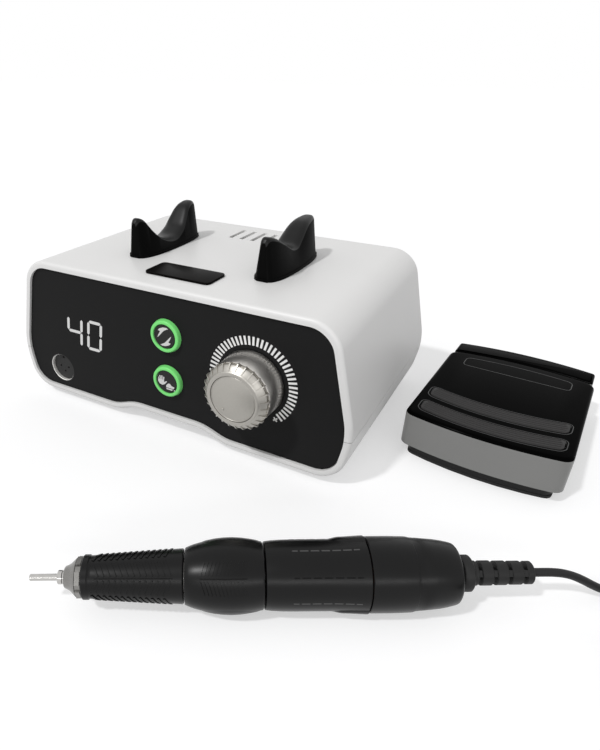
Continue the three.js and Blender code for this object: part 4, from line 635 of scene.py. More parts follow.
hand_and_shoe = bmesh.new()
palm = [
    (-4.9, 0.8), (-5.0, -0.6), (-4.0, -1.9), (-2.5, -2.2), (-1.1, -1.5), (0.3, 0.1),
    (-0.1, 0.45), (-1.4, -0.4), (-1.4, 0.8),
]
shoe_upper = [
    (-0.3, -1.9), (0.9, -0.6), (2.0, -0.5), (2.8, -1.5), (4.7, -1.9), (4.9, -2.9), (-0.3, -2.9),
]
shoe_sole = [(-0.3, -3.3), (4.9, -3.3), (4.7, -4.0), (-0.1, -4.0)]
fingers = [(-4.55, 14, 1.7), (-3.6, 5, 2.1), (-2.7, -3, 2.2), (-1.8, -12, 1.8)]
finger_width, finger_root = 0.66, 0.7
for outline in (palm, shoe_upper, shoe_sole):
    drawn(hand_and_shoe, outline, ink_depth)
for x, lean, length in fingers:
    root = Matrix.Translation((x, finger_root, ink_depth / 2))
    finger = root @ Matrix.Rotation(math.radians(lean), 4, "Z")
    size = Matrix.Diagonal((finger_width, length, ink_depth, 1))
    reach = Matrix.Translation((0, length / 2, 0))
    bmesh.ops.create_cube(hand_and_shoe, size=1, matrix=finger @ reach @ size)
set_down("mode_sign", hand_and_shoe, sign_place("mode"), "mode_key", sign_grey)

# The speed knob: turned from aluminium, nickel plated. Its barrel runs out into a flared ring of
# thin ridges, and a satin disc with a raised dot for a pointer is set into its face.
ridge_count, ridge_thickness, satin_from = 27, 0.54, -12.2
knob_profile = [
    (0.7, 0), (0.7, 15.6), (0.5, 15.8), (-11.8, 15.35), (-12.1, 15.2), (-12.2, 14.9), (-12.3, 14.5),
    (-13.7, 14.5), (-13.85, 14.9), (-14.05, 15.1), (-14.5, 14.85), (-15.2, 14.1), (-15.9, 13.3),
    (-16.4, 12.85), (-16.75, 12.6), (-16.94, 12.3), (-16.98, 11.6), (-16.9, 10.95), (-16.75, 10.86),
    (-15.4, 10.85), (-15.4, 0),
]
ridge_outline = [
    (-11.95, 15.1), (-12.4, 15.6), (-13.2, 15.95), (-14.0, 15.9), (-14.8, 15.25), (-15.5, 14.3),
    (-16.3, 13.1), (-16.0, 12.7), (-15.2, 13.6), (-14.2, 14.4), (-13.6, 14.2), (-12.4, 14.3),
]
disc_face = -16.7
face_profile = [
    (-15.3, 0), (-15.3, 10.7), (-16.6, 10.7), (-16.72, 10.58), (-16.72, 10.35), (-16.62, 10.25),
    (disc_face, 10.1), (disc_face, 0),
]
pointer_radius, pointer_turn, pointer_size, pointer_height = 7.8, math.radians(232), 0.75, 0.28


def metal(name, colour, roughness, lines=0.04, stretch=(1, 1, 1), grain=500, depth=0.03):
    """Plated or turned metal: fine tool lines along one way, and faint clouds in the shine."""
    return finish(
        name, {"Metallic": 1}, colour, (1 - lines, 1 + lines), (0.3, 0.7),
        (roughness - 0.04, roughness + 0.05), (90, 3), (grain, 4), (depth, 0.0002), stretch,
    )


nickel_barrel = metal("nickel_barrel", (0.62, 0.6, 0.57), 0.31, 0.03, (1, 0.2, 1), 160, 0.004)
nickel_satin = metal("nickel_satin", (0.4, 0.385, 0.355), 0.42, 0.02, (1, 1, 1), 900, 0.02)
KNOB = facing_front(knob_x, knob_z)
knob_body = turned(knob_profile, steps=144)
half_ridge = ridge_thickness / 2
ridge = [knob_body.verts.new((along, radius, -half_ridge)) for along, radius in ridge_outline]
grown = bmesh.ops.extrude_face_region(knob_body, geom=[knob_body.faces.new(ridge)])
bmesh.ops.translate(knob_body, verts=new_points(grown), vec=(0, 0, ridge_thickness))
ridge += new_points(grown)
ridge_faces = list({face for point in ridge for face in point.link_faces})
bmesh.ops.recalc_face_normals(knob_body, faces=ridge_faces)
ridge_edges = list({edge for point in ridge for edge in point.link_edges})
bmesh.ops.spin(
    knob_body, geom=ridge + ridge_edges + ridge_faces, axis=(1, 0, 0), cent=(0, 0, 0),
    angle=math.tau * (ridge_count - 1) / ridge_count, steps=ridge_count - 1, use_duplicate=True,
)
speed_knob = set_down("knob_barrel", knob_body, KNOB, "knob", nickel_barrel, nickel_satin)
to_unit = UNIT.inverted()
for polygon in speed_knob.data.polygons:
    polygon.material_index = 1 if (to_unit @ polygon.center).y < satin_from else 0
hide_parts("speed_knob")

knob_disc = turned(face_profile, steps=128)
pointer_y = pointer_radius * math.cos(pointer_turn)
pointer_z = pointer_radius * math.sin(pointer_turn)
pointer_at = Matrix.Translation((disc_face, pointer_y, pointer_z))
pointer_shape = Matrix.Diagonal((pointer_height, pointer_size, pointer_size, 1))
bmesh.ops.create_uvsphere(
    knob_disc, u_segments=20, v_segments=12, radius=1,
    matrix=pointer_at @ pointer_shape,
)
disc_place = KNOB @ Matrix.Diagonal((1, -1, 1, 1))
knob_face = set_down("knob_disc", knob_disc, disc_place, "knob", nickel_satin)
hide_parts("speed_knob_face")

# The handpiece socket: a thin bright steel sleeve, flush with the film, round a sunk black insert
# with three pin holes and a keyway. Its mounting plate is hidden behind the panel.
socket_x, socket_z = -70.2, 18.2
socket_profile = [
    (1.15, 8.25), (1.15, 7.75), (1.35, 7.6), (10.7, 7.6), (10.7, 8.0), (1.8, 8.0), (1.8, 8.25),
]
bore_radius = 7.7
bright_steel = metal("bright_steel", (0.86, 0.85, 0.83), 0.6, 0.03, (0.4, 3, 0.4))
insert_black = moulded("insert_black", (0.024, 0.024, 0.024), 0.5, 0.06, 1500, 0.04, 0.15)
socket_sleeve = turned(socket_profile, closed=True, steps=72)
for face in socket_sleeve.faces:
    face.material_index = 0 if face.calc_center_median().yz.length < bore_radius else 1
socket_place = facing_front(socket_x, socket_z)
socket = set_down("socket_sleeve", socket_sleeve, socket_place, "set", bright_steel, insert_black)
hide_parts("motor_socket_ring")
refinish(insert_black, "motor_socket_insert")

# The badge on the roof: a bare glossy black plate with rounded corners, pinned down behind the
# front edge.
roof_z = 77.95
badge_half, badge_depth, badge_corner, badge_y, badge_thickness = 18, 8.3, 2.5, 20.2, 1
badge_black = moulded("badge_black", (0.0035, 0.003, 0.0028), 0.3, 0.1, 600, 0.01, 0.02)
badge_plate = rounded_plate(oblong(badge_half, -badge_depth, badge_depth, badge_corner), 6)
thicken(badge_plate, badge_thickness)
round_top(badge_plate, badge_thickness, 0.25, 3)
badge_place = UNIT @ Matrix.Translation((0, badge_y, roof_z))
badge = set_down("roof_badge", badge_plate, badge_place, "set", badge_black)
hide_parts("top_badge")

# The two handpiece rests: saddles of satin black plastic, slim lenses seen from above, with a low
# horn in front, a dip for the handpiece and a tall horn behind. They are pegged into the roof.
rest_x, rest_front, rest_length, rest_tall = 36.2, 29.5, 54, 20
rest_half, rest_end_half, rest_draft, rest_crown = 7.75, 2.2, 2.6, 1.6
foot_top, foot_height = 1.3, 1.1
rest_crests = {
    "left": [
        (0, 17.2), (0.02, 18.6), (0.05, 19.2), (0.1, 18.1), (0.144, 15.2), (0.194, 12.1),
        (0.264, 8.8), (0.33, 7), (0.39, 5.8), (0.467, 5.2), (0.542, 5.6), (0.598, 7),
        (0.664, 9.2), (0.727, 13.3), (0.796, 17.5), (0.86, 19.2), (0.925, 19.6), (0.972, 18.6),
        (1, 16.5),
    ],
    "right": [
        (0, 17.5), (0.02, 19), (0.05, 19.6), (0.131, 18.5), (0.211, 16.3), (0.267, 14.6),
        (0.335, 12.5), (0.39, 11.6), (0.45, 11.5), (0.488, 12), (0.576, 14.8), (0.665, 17.7),
        (0.742, 19.4), (0.864, 20.2), (0.935, 20), (0.98, 18.8), (1, 16.5),
    ],
}
# The sides take a darker copy of the rests' black with almost no shine: painted shade, which keeps
# them dead black. Only the saddle top keeps its satin sheen.
rest_side_shade = moulded("rest_side_shade", (0.0022, 0.0022, 0.0022), 0.5, 0.1, 1800, 0.04, 0.03)
rest_satin = moulded("rest_satin", (0.003, 0.003, 0.003), 0.38, 0.1, 1800, 0.05, 0.2)


def crest_at(crest, share):
    """Height of a rest's crest, a smooth curve through its points."""
    i = max(k for k in range(len(crest) - 1) if crest[k][0] <= share)
    (a, low), (b, high) = crest[i], crest[i + 1]
    before, after = crest[max(i - 1, 0)], crest[min(i + 2, len(crest) - 1)]
    rise_in = (high - before[1]) / (b - before[0]) * (b - a)
    rise_out = (after[1] - low) / (after[0] - a) * (b - a)
    t = (share - a) / (b - a)
    return (
        low * (2 * t ** 3 - 3 * t ** 2 + 1) + high * (3 * t ** 2 - 2 * t ** 3)
        + rise_in * (t ** 3 - 2 * t ** 2 + t) + rise_out * (t ** 3 - t ** 2)
    )


def rest_half_at(share):
    """Half a rest's width near its foot."""
    lens = math.sqrt(max(0, 1 - abs(2 * share - 1) ** 2.6))
    return rest_end_half + (rest_half - rest_end_half) * lens


def rest_top_half_at(crest, share):
    """Half a rest's width at its crest, where the sides have drawn in."""
    half = rest_half_at(share)
    return half - min(rest_draft * crest_at(crest, share) / rest_tall, half * 0.5)


def saddle(crest):
    """A flat grid pulled into the saddle's crest, with its sides drawn down to a small foot."""
    bm = bmesh.new()
    bmesh.ops.create_grid(bm, x_segments=10, y_segments=72, size=0.5)
    for point in bm.verts:
        across, share = point.co.x * 2, (1 + math.sin(math.pi * point.co.y)) / 2
        point.co = (
            across * rest_top_half_at(crest, share),
            rest_front + share * rest_length,
            crest_at(crest, share) - rest_crown * abs(across) ** 4,
        )
    # The crest takes the satin black; the sides grown below it take the darker copy, painted shade.
    for face in bm.faces:
        face.material_index = 1
    rim = [edge for edge in bm.edges if edge.is_boundary]
    for z, spread in ((foot_top, 0), (foot_height, 0.65), (0, 0.7)):
        grown = bmesh.ops.extrude_edge_only(bm, edges=rim)
        for face in (item for item in grown["geom"] if isinstance(item, bmesh.types.BMFace)):
            face.material_index = 0
        rim = [item for item in grown["geom"] if isinstance(item, bmesh.types.BMEdge)]
        for point in {vert for edge in rim for vert in edge.verts}:
            share = min(max((point.co.y - rest_front) / rest_length, 0), 1)
            if 0.0001 < share < 0.9999:
                point.co.x = math.copysign(rest_half_at(share) + spread, point.co.x)
            elif z == foot_top:
                point.co.x *= rest_half_at(share) / rest_top_half_at(crest, share)
            elif z == foot_height:
                point.co.x *= 1 + spread / rest_half_at(share)
                point.co.y += math.copysign(spread, share - 0.5)
            point.co.z = z
    bmesh.ops.contextual_create(bm, geom=rim)
    bmesh.ops.recalc_face_normals(bm, faces=bm.faces)
    return bm


for side, x in (("left", -rest_x), ("right", rest_x)):
    rest = set_down(
        f"rest_{side}_saddle", saddle(rest_crests[side]), UNIT @ Matrix.Translation((x, 0, roof_z)),
        "set", rest_side_shade, rest_satin, sharp=50,
    )
    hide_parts(f"handpiece_rest_{side}")

# The back of the unit: a black sheet panel. The mains inlet and the power switch that are set
# into it are black plastic, and the pedal's socket is nickel plated.
rear_black = moulded("rear_black", (0.03, 0.03, 0.031), 0.45, 0.08, 1400, 0.06, 0.3)
socket_black = moulded("socket_black", (0.018, 0.018, 0.018), 0.38, 0.08, 1400, 0.04, 0.4)
rocker_black = moulded("rocker_black", (0.022, 0.022, 0.022), 0.25, 0.08, 1400, 0.02, 0.4)
nickel_plain = metal("nickel_plain", (0.6, 0.58, 0.55), 0.25, 0.04)
refinish(rear_black, "rear_panel")
refinish(socket_black, "mains_inlet", "power_switch_body")
refinish(rocker_black, "power_rocker")
refinish(nickel_plain, "foot_socket")

# Under the unit: four feet of soft moulded rubber, and four steel screws, sunk into the bottom
# shell, which hold the two shells together.
foot_rubber = rubber("foot_rubber", (0.016, 0.016, 0.016), 0.7, 1800)
screw_steel = metal("screw_steel", (0.5, 0.5, 0.5), 0.3, 0.06)
for number in range(1, 5):
    refinish(foot_rubber, f"rubber_foot_{number}")
    refinish(screw_steel, f"housing_screw_{number}")

# Inside the unit: circuit boards of green laminate, switches, the speed control and the mains
# transformer.
laminate = moulded("laminate", (0.02, 0.12, 0.05), 0.4, 0.2, 700, 0.1)
switch_black = moulded("switch_black", (0.02, 0.02, 0.02), 0.5, 0.1)
core_iron = metal("core_iron", (0.2, 0.2, 0.21), 0.5, 0.2, (1, 1, 12), 60, 0.2)
white_nylon = moulded("white_nylon", (0.62, 0.61, 0.58), 0.5, 0.04)
refinish(laminate, "display_board", "power_board")
refinish(switch_black, "direction_switch", "mode_switch")
refinish(core_iron, "mains_transformer", "potentiometer_body")
refinish(white_nylon, "potentiometer_shaft")

# The foot pedal: a glossy black treadle over a low base, hinged near the heel. Its upright faces
# are grey and the rest black, and its top edge is rolled over.
PEDAL = UNIT @ Matrix.Translation((145, 86, 0)) @ Matrix.Rotation(math.radians(-4), 4, "Z")
pedal_half, pedal_front, pedal_step, pedal_rear, heel_gap = 35.5, -46, 33.5, 46, 0.9
pedal_top, pedal_skirt, pedal_wall, pedal_bow, pedal_corner, pedal_roll = 24, 6.6, 2.4, 4, 4, 1.9
grip_half, grip_depth, grip_corner, grip_bow, grip_places = 30.5, 4.3, 2.2, 4.6, (-35.5, -20.3)
pocket_depth, pocket_gap = 0.7, 0.3
treadle_black = moulded("treadle_black", (0.0012, 0.0012, 0.0012), 0.16, 0.2, 500, 0.01, 0.006)
treadle_grey = moulded("treadle_grey", (0.21, 0.21, 0.205), 0.3, 0.03, 900, 0.03, 0.3)


def pedal_plate(half, front, rear, front_bow, rear_bow, radius):
    """The pedal's plan: straight sides, and ends that bow out between rounded corners."""
    bm = rounded_plate(oblong(half, front, rear, radius), 6)
    ends = [
        edge for edge in bm.edges
        if abs(edge.verts[0].co.y - edge.verts[1].co.y) < 0.001 and edge.calc_length() > half / 2
    ]
    bmesh.ops.bisect_edges(bm, edges=ends, cuts=19)
    for point in bm.verts:
        bow = 1 - (point.co.x / half) ** 2
        point.co.y += -front_bow * bow if point.co.y < (front + rear) / 2 else rear_bow * bow
    return bm


def grip_plate(middle, grow):
    """The plan of a grip strip: a bar that bends towards the toe."""
    half, depth = grip_half + grow, grip_depth + grow
    bm = rounded_plate(oblong(half, -depth, depth, grip_corner + grow), 6)
    sides = [edge for edge in bm.edges if edge.calc_length() > half / 2]
    bmesh.ops.bisect_edges(bm, edges=sides, cuts=23)
    for point in bm.verts:
        point.co.y += middle + grip_bow * (point.co.x / half) ** 2 - grip_bow
    return bm


def take_in(bm, other):
    """Add another mesh to this one."""
    carried = bpy.data.meshes.new("carried")
    other.to_mesh(carried)
    other.free()
    bm.from_mesh(carried)
    bpy.data.meshes.remove(carried)


def grey_upright_faces(piece):
    """The faces of a pedal piece that stand upright take its second material."""
    for polygon in piece.data.polygons:
        polygon.material_index = 1 if abs(polygon.normal.z) < 0.35 else 0


def at_top(co):
    """Whether a point of the pedal lies at the level of its top."""
    return co.z > pedal_top - 0.01


treadle_rear = pedal_step - heel_gap
treadle = pedal_plate(pedal_half, pedal_front, treadle_rear, pedal_bow, pedal_bow, pedal_corner)
thicken(treadle, pedal_top - pedal_skirt, pedal_skirt)
round_top(treadle, pedal_top, pedal_roll, 5)
flat_ends = [face for face in treadle.faces if abs(face.normal.z) > 0.999]
bmesh.ops.delete(treadle, geom=flat_ends, context="FACES_ONLY")
open_top = [edge for edge in edges_at(treadle, at_top) if edge.is_boundary]
for middle in grip_places:
    pocket = grip_plate(middle, pocket_gap)
    bmesh.ops.translate(pocket, verts=pocket.verts, vec=(0, 0, pedal_top - pocket_depth))
    known = set(treadle.edges)
    take_in(treadle, pocket)
    floor_edges = [edge for edge in treadle.edges if edge not in known]
    grown = bmesh.ops.extrude_edge_only(treadle, edges=floor_edges)
    bmesh.ops.translate(treadle, verts=new_points(grown), vec=(0, 0, pocket_depth))
    risen = [item for item in grown["geom"] if isinstance(item, bmesh.types.BMEdge)]
    open_top += [edge for edge in risen if all(at_top(point.co) for point in edge.verts)]
bmesh.ops.triangle_fill(treadle, edges=open_top, use_beauty=True, normal=(0, 0, 1))
bmesh.ops.recalc_face_normals(treadle, faces=treadle.faces)
treadle_piece = set_down("treadle", treadle, PEDAL, "treadle", treadle_black, treadle_grey)
grey_upright_faces(treadle_piece)
add_wall(treadle_piece, pedal_wall)
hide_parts("pedal_treadle")

# The label field on the treadle: a bare place with a fine raised border, straight towards the toe
# and bowed towards the heel. The border is a lighter black than the treadle: painted highlight
# along its edge.
label_half, label_front, label_rear, label_bow, label_corner = 26, 17.5, 27.6, 2.4, 2.6
label_line, line_height, line_sink = 0.4, 0.1, 0.02
# Lighter and shinier than the treadle's black: painted highlight for the lit edges of the borders.
border_highlight_black = moulded("border_highlight_black", (0.03, 0.03, 0.03), 0.4, 0.1, 900, 0.02, 0.3)
label_place = PEDAL @ Matrix.Translation((0, 0, pedal_top - line_sink))


def border(bm, line):
    """Keep only a raised line round the edge of a plate."""
    field = bm.faces[:]
    bmesh.ops.inset_region(
        bm, faces=field, thickness=line, use_boundary=True, use_even_offset=True,
    )
    bmesh.ops.delete(bm, geom=field, context="FACES")
    thicken(bm, line_height)
    return bm


label = pedal_plate(label_half, label_front, label_rear, 0, label_bow, label_corner)
label = border(label, label_line)
set_down("label_border", label, label_place, "treadle", border_highlight_black)

# The two grips: strips of dark grey rubber with fine ribs along them, pressed into pockets in the
# treadle, each with a fine raised border round it. The borders are a lighter black than the
# treadle: painted highlight for the lit edge of the groove round each pocket.
grip_rubber = rubber("grip_rubber", (0.026, 0.025, 0.025), 0.62, 1500)
grip_sink, grip_thickness, grip_reach, grip_line = 0.6, 0.85, 1.25, 0.35
rib_count, rib_width, rib_height, rib_sink, rib_margin = 5, 0.7, 0.16, 0.1, 0.95
grip_top = pedal_top - grip_sink + grip_thickness
for name, middle in zip(("front", "rear"), grip_places):
    grip = grip_plate(middle, 0)
    thicken(grip, grip_thickness, pedal_top - grip_sink)
    round_top(grip, grip_top, 0.25, 2)
    for i in range(rib_count):
        rib = bmesh.new()
        bmesh.ops.create_cube(rib, size=1)
        along = [edge for edge in rib.edges if abs(edge.verts[0].co.x - edge.verts[1].co.x) > 0.5]
        bmesh.ops.subdivide_edges(rib, edges=along, cuts=19)
        offset = (i - (rib_count - 1) / 2) * 2 * (grip_depth - rib_margin) / (rib_count - 1)
        reach = grip_half - 0.9 - 0.25 * abs(offset)
        for point in rib.verts:
            x = point.co.x * 2 * reach
            bend = middle + grip_bow * (x / grip_half) ** 2 - grip_bow
            rise = (point.co.z + 0.5) * (rib_sink + rib_height) - rib_sink
            point.co = (x, bend + offset + point.co.y * rib_width, grip_top + rise)
        bmesh.ops.recalc_face_normals(rib, faces=rib.faces)
        take_in(grip, rib)
    strip = set_down(f"grip_{name}_strip", grip, PEDAL, "treadle", grip_rubber)
    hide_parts(f"pedal_grip_{name}")
    grip_border = border(grip_plate(middle, grip_reach), grip_line)
    set_down(f"grip_{name}_border", grip_border, label_place, "treadle", border_highlight_black)

# The pedal's base: a shallow tray under the treadle, moulded in one with the fixed heel block
# behind it.
base_low, base_floor, base_wall_top, base_inset = 1.7, 2.6, 14, 3.3
heel_inset, heel_corner, heel_roll, tray_bow = 1.2, 1.2, 1.6, 3.8
pin_y, pin_z, pin_inset = 4.2, 12, 1.5
pin_profile = [
    (0, 0), (0.5, 0), (0.5, 1.0), (0.35, 1.15), (0.35, 1.35), (0.5, 1.5), (0.5, 1.8), (0.3, 2.0),
    (0, 2.0),
]
base_black = moulded("base_black", (0.012, 0.012, 0.012), 0.4, 0.1, 1200, 0.04, 0.2)
base = pedal_plate(
    pedal_half - heel_inset, pedal_step, pedal_rear, -pedal_bow, pedal_bow, heel_corner,
)
thicken(base, pedal_top - base_low, base_low)
round_top(base, pedal_top, heel_roll, 5)
tray = pedal_plate(
    pedal_half - base_inset, pedal_front + base_inset, pedal_step, pedal_bow, tray_bow,
    pedal_corner,
)
thicken(tray, base_wall_top - base_low, base_low)
tray_top = [face for face in tray.faces if face.normal.z > 0.999]
bmesh.ops.inset_region(tray, faces=tray_top, thickness=pedal_wall, use_even_offset=True)
grown = bmesh.ops.extrude_face_region(tray, geom=tray_top)
tray_depth = base_wall_top - base_low - base_floor
bmesh.ops.translate(tray, verts=new_points(grown), vec=(0, 0, -tray_depth))
bmesh.ops.delete(tray, geom=tray_top, context="FACES")
bmesh.ops.recalc_face_normals(tray, faces=tray.faces)
take_in(base, tray)
pedal_body = set_down("pedal_body", base, PEDAL, "set", treadle_black, treadle_grey, base_black)
grey_upright_faces(pedal_body)
to_pedal = PEDAL.inverted()
for polygon in pedal_body.data.polygons:
    middle = to_pedal @ polygon.center
    if middle.y < pedal_step - 1 or middle.z < base_low + 0.5:
        polygon.material_index = 2
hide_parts("pedal_base")
pin_heads = bmesh.new()
for side in (-1, 1):
    head = turned(pin_profile, steps=32)
    spot = Matrix.Translation((side * (pedal_half - pin_inset), pedal_step + pin_y, pin_z))
    bmesh.ops.transform(head, matrix=spot @ Matrix.Diagonal((side, 1, 1, 1)), verts=head.verts)
    bmesh.ops.recalc_face_normals(head, faces=head.faces)
    take_in(pin_heads, head)
set_down("heel_pins", pin_heads, PEDAL, "set", base_black)
pin_steel = metal("pin_steel", (0.55, 0.55, 0.54), 0.25, 0.05)
spring_steel = metal("spring_steel", (0.5, 0.5, 0.5), 0.3, 0.06)
refinish(foot_rubber, "pedal_sole")
refinish(pin_steel, "pedal_pivot_pin")
refinish(spring_steel, "pedal_spring")
refinish(switch_black, "pedal_microswitch")

# The tool in the handpiece's collet: a plain steel shank of the usual 2.35 mm. Like everything on
# the handpiece, it and its collet are turned. Three slits part the collet's nose.
HANDPIECE_AXIS = HANDPIECE @ Matrix.Translation((0, 0, AXIS_Z))
shank_profile = [(0.25, 0), (0, 0.9), (0, 0.95), (0.25, 1.175), (26, 1.175), (26, 0)]
collet_profile = [
    (9.9, 1.175), (9.7, 1.5), (9.7, 2.2), (9.9, 2.4), (11.2, 2.4), (11.4, 2.2), (30, 2.2),
    (30, 1.175),
]
slit_place, slit_size = (9.72, 1.7, 0), (0.08, 1.0, 0.14, 1)
tool_steel = metal("tool_steel", (0.5, 0.49, 0.475), 0.14, 0.04, (0.4, 3, 3))
tool = turned(shank_profile, steps=48)
shank = set_down("tool_shank", tool, HANDPIECE_AXIS, "rotating_assembly", tool_steel)
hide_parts("bur_shank")
collet = turned(collet_profile, closed=True, steps=48)
for i in range(3):
    slit = Matrix.Translation(slit_place) @ Matrix.Diagonal(slit_size)
    bmesh.ops.create_cube(collet, size=1, matrix=Matrix.Rotation(math.tau * i / 3, 4, "X") @ slit)
collet_piece = set_down("collet_nut", collet, HANDPIECE_AXIS, "rotating_assembly", tool_steel)
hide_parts("collet")

# The nose: a hollow flared cone of satin steel, with wrench flats cut behind it. Its patterns,
# and all others on the handpiece, are laid out from the line that faces the viewer.
front_turn = math.radians(41.7)
nose_profile = [
    (16, 2.9), (12.4, 2.9), (12.2, 3.1), (12.1, 3.45), (12.3, 3.7), (13.2, 4.05), (14.2, 4.65),
    (15.1, 5.5), (15.8, 6.2), (16.3, 6.6), (16.45, 6.2), (18.2, 6.2), (18.2, 5.4), (54, 5.4),
    (54, 2.9),
]
flat_count, flat_place, flat_size = 6, (17.32, -6.1, 0), (1.65, 1.1, 4.4, 1)
nose_steel = metal("nose_steel", (0.24, 0.235, 0.225), 0.26, 0.05, (0.4, 3, 3))
nose = turned(nose_profile, closed=True, steps=96)
for i in range(flat_count):
    around = Matrix.Rotation(math.tau * i / flat_count - front_turn, 4, "X")
    flat = Matrix.Translation(flat_place) @ Matrix.Diagonal(flat_size)
    bmesh.ops.create_cube(nose, size=1, matrix=around @ flat)
nose_piece = set_down("nose_flare", nose, HANDPIECE_AXIS, "set", nose_steel)
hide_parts("nose_cone")

# The finger sleeve: a slim black taper with a lip in front, and four fields of slanting ribs on
# both sides of a fine groove.
sleeve_profile = [
    (18.5, 5.7), (18.5, 7.2), (18.8, 7.5), (20.5, 7.5), (20.8, 7.2), (21.1, 7.12), (22, 7.2),
    (52.3, 9.2), (52.7, 8.9), (52.7, 5.7),
]
sleeve_fields, sleeve_ribs = 4, {
    "count": 13, "first": 24.3, "pitch": 2.02, "near": (0, 5), "far": (-2.2, 40), "width": 0.75,
    "height": 0.28,
}
groove_start, groove_end, groove_width, groove_height = 23.2, 49.4, 0.3, 0.03
body_black = moulded("body_black", (0.003, 0.003, 0.0031), 0.28, 0.1, 2400, 0.03, 0.2)
groove_black = moulded("groove_black", (0.004, 0.004, 0.004), 0.6, 0.1, 2000, 0.02, 0.1)


def on_body(u, radius, turn):
    """A point on a turned body, from its place along the axis, its radius and its turn."""
    return (u, -radius * math.cos(turn), radius * math.sin(turn))


def radius_from(table):
    """The radius of a turned body at a place along its axis, from a table of places and radii."""
    def radius_at(u):
        for (a, low), (b, high) in zip(table, table[1:]):
            if u <= b:
                return low + (high - low) * (u - a) / (b - a)
        return table[-1][1]
    return radius_at


def wrapped(bm, start, end, width, height, radius_at, parts=5):
    """Lay a bar on a turned body, a little sunk into it. Its ends are given along the axis, and
    round it in degrees."""
    sink = 0.12
    bar = bmesh.new()
    bmesh.ops.create_cube(bar, size=1)
    along = [edge for edge in bar.edges if abs(edge.verts[0].co.x - edge.verts[1].co.x) > 0.5]
    bmesh.ops.subdivide_edges(bar, edges=along, cuts=parts - 1)
    reach = radius_at((start[0] + end[0]) / 2)
    first = Vector((start[0], math.radians(start[1]) * reach))
    last = Vector((end[0], math.radians(end[1]) * reach))
    run = (last - first).normalized()
    side = Vector((-run.y, run.x)) * width
    for point in bar.verts:
        flat = first.lerp(last, point.co.x + 0.5) + side * point.co.y
        radius = radius_at(flat.x) + (point.co.z + 0.5) * (height + sink) - sink
        point.co = on_body(flat.x, radius, front_turn + flat.y / reach)
    bmesh.ops.recalc_face_normals(bar, faces=bar.faces)
    take_in(bm, bar)


def rib_field(bm, middle, radius_at, count, first, pitch, near, far, width, height):
    """Slanting ribs on both sides of a line along a turned body. Near and far are a rib's two
    ends, as a step along the axis and as degrees from the line."""
    for i in range(count):
        u = first + pitch * i
        for side in (-1, 1):
            start, end = ((u + step, middle + side * turn) for step, turn in (near, far))
            wrapped(bm, start, end, width, height, radius_at)


sleeve_radius = radius_from([(18, 7.0), (52.7, 9.2)])
sleeve = turned(sleeve_profile, closed=True, steps=128)
grooves = bmesh.new()
for field in range(sleeve_fields):
    middle = 360 / sleeve_fields * field
    rib_field(sleeve, middle, sleeve_radius, **sleeve_ribs)
    start, end = (groove_start, middle), (groove_end, middle)
    wrapped(grooves, start, end, groove_width, groove_height, sleeve_radius, parts=8)
sleeve_piece = set_down("finger_sleeve", sleeve, HANDPIECE_AXIS, "set", body_black)
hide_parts("nose_sleeve")
set_down("sleeve_grooves", grooves, HANDPIECE_AXIS, "set", groove_black)

# The chuck ring: a swelling black grip, turned by hand to free the tool. It has two fields of
# slanting ribs, and a low lens-shaped swelling above and below.
lock_table = [
    (53.1, 9.3), (53.3, 9.5), (54.7, 10.08), (56.1, 10.58), (57.5, 10.96), (59, 11.34),
    (60.4, 11.67), (63.2, 12.12), (66.1, 12.38), (68.9, 12.48), (71.8, 12.36), (73.2, 12.22),
    (76.1, 11.88), (78.9, 11.39), (79.3, 11.3), (79.5, 11.1),
]
lock_inner, lock_ribs = 7.9, {
    "count": 12, "first": 59.2, "pitch": 1.26, "near": (-0.9, 5), "far": (0.5, 27), "width": 0.55,
    "height": 0.2,
}
lock_groove_start, lock_groove_end, lock_groove_width = 58.2, 73.7, 0.35
swell_start, swell_end, swell_angle, swell_height, swell_sink = 58.5, 79, 34, 0.4, 0.05
lock_radius = radius_from(lock_table)
lock_profile = [(lock_table[0][0], lock_inner), *lock_table, (lock_table[-1][0], lock_inner)]
lock = turned(lock_profile, closed=True, steps=128)
grooves = bmesh.new()
for middle in (0, 180):
    rib_field(lock, middle, lock_radius, **lock_ribs)
    start, end = (lock_groove_start, middle), (lock_groove_end, middle)
    wrapped(grooves, start, end, lock_groove_width, groove_height, lock_radius, parts=10)


def laid(bm, columns, middle, shape):
    """Lay a small sheet on a turned body. Its shape says, from the share along it and the share
    across, the place along the axis, the turn from its middle in degrees, and the radius."""
    made = bmesh.ops.create_grid(bm, x_segments=columns, y_segments=12, size=0.5)["verts"]
    for point in made:
        u, turn, radius = shape(point.co.x + 0.5, point.co.y * 2)
        point.co = on_body(u, radius, front_turn + math.radians(middle + turn))
    faces = list({face for point in made for face in point.link_faces})
    outwards = Vector(on_body(0, 1, front_turn + math.radians(middle)))
    if sum(face.normal.dot(outwards) for face in faces) < 0:
        bmesh.ops.reverse_faces(bm, faces=faces)


def swelling(share, across):
    """The chuck ring's low lens."""
    u = swell_start + (swell_end - swell_start) * share
    lens = math.sqrt(max(1 - (2 * share - 1) ** 2, 0))
    radius = lock_radius(u) - swell_sink + swell_height * (1 - across ** 2) * lens
    return u, across * swell_angle * lens, radius


for middle in (90, -90):
    laid(lock, 24, middle, swelling)
lock_piece = set_down("chuck_grip", lock, HANDPIECE_AXIS, "chuck_ring", body_black)
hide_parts("chuck_lock_ring")
set_down("chuck_grooves", grooves, HANDPIECE_AXIS, "chuck_ring", groove_black)

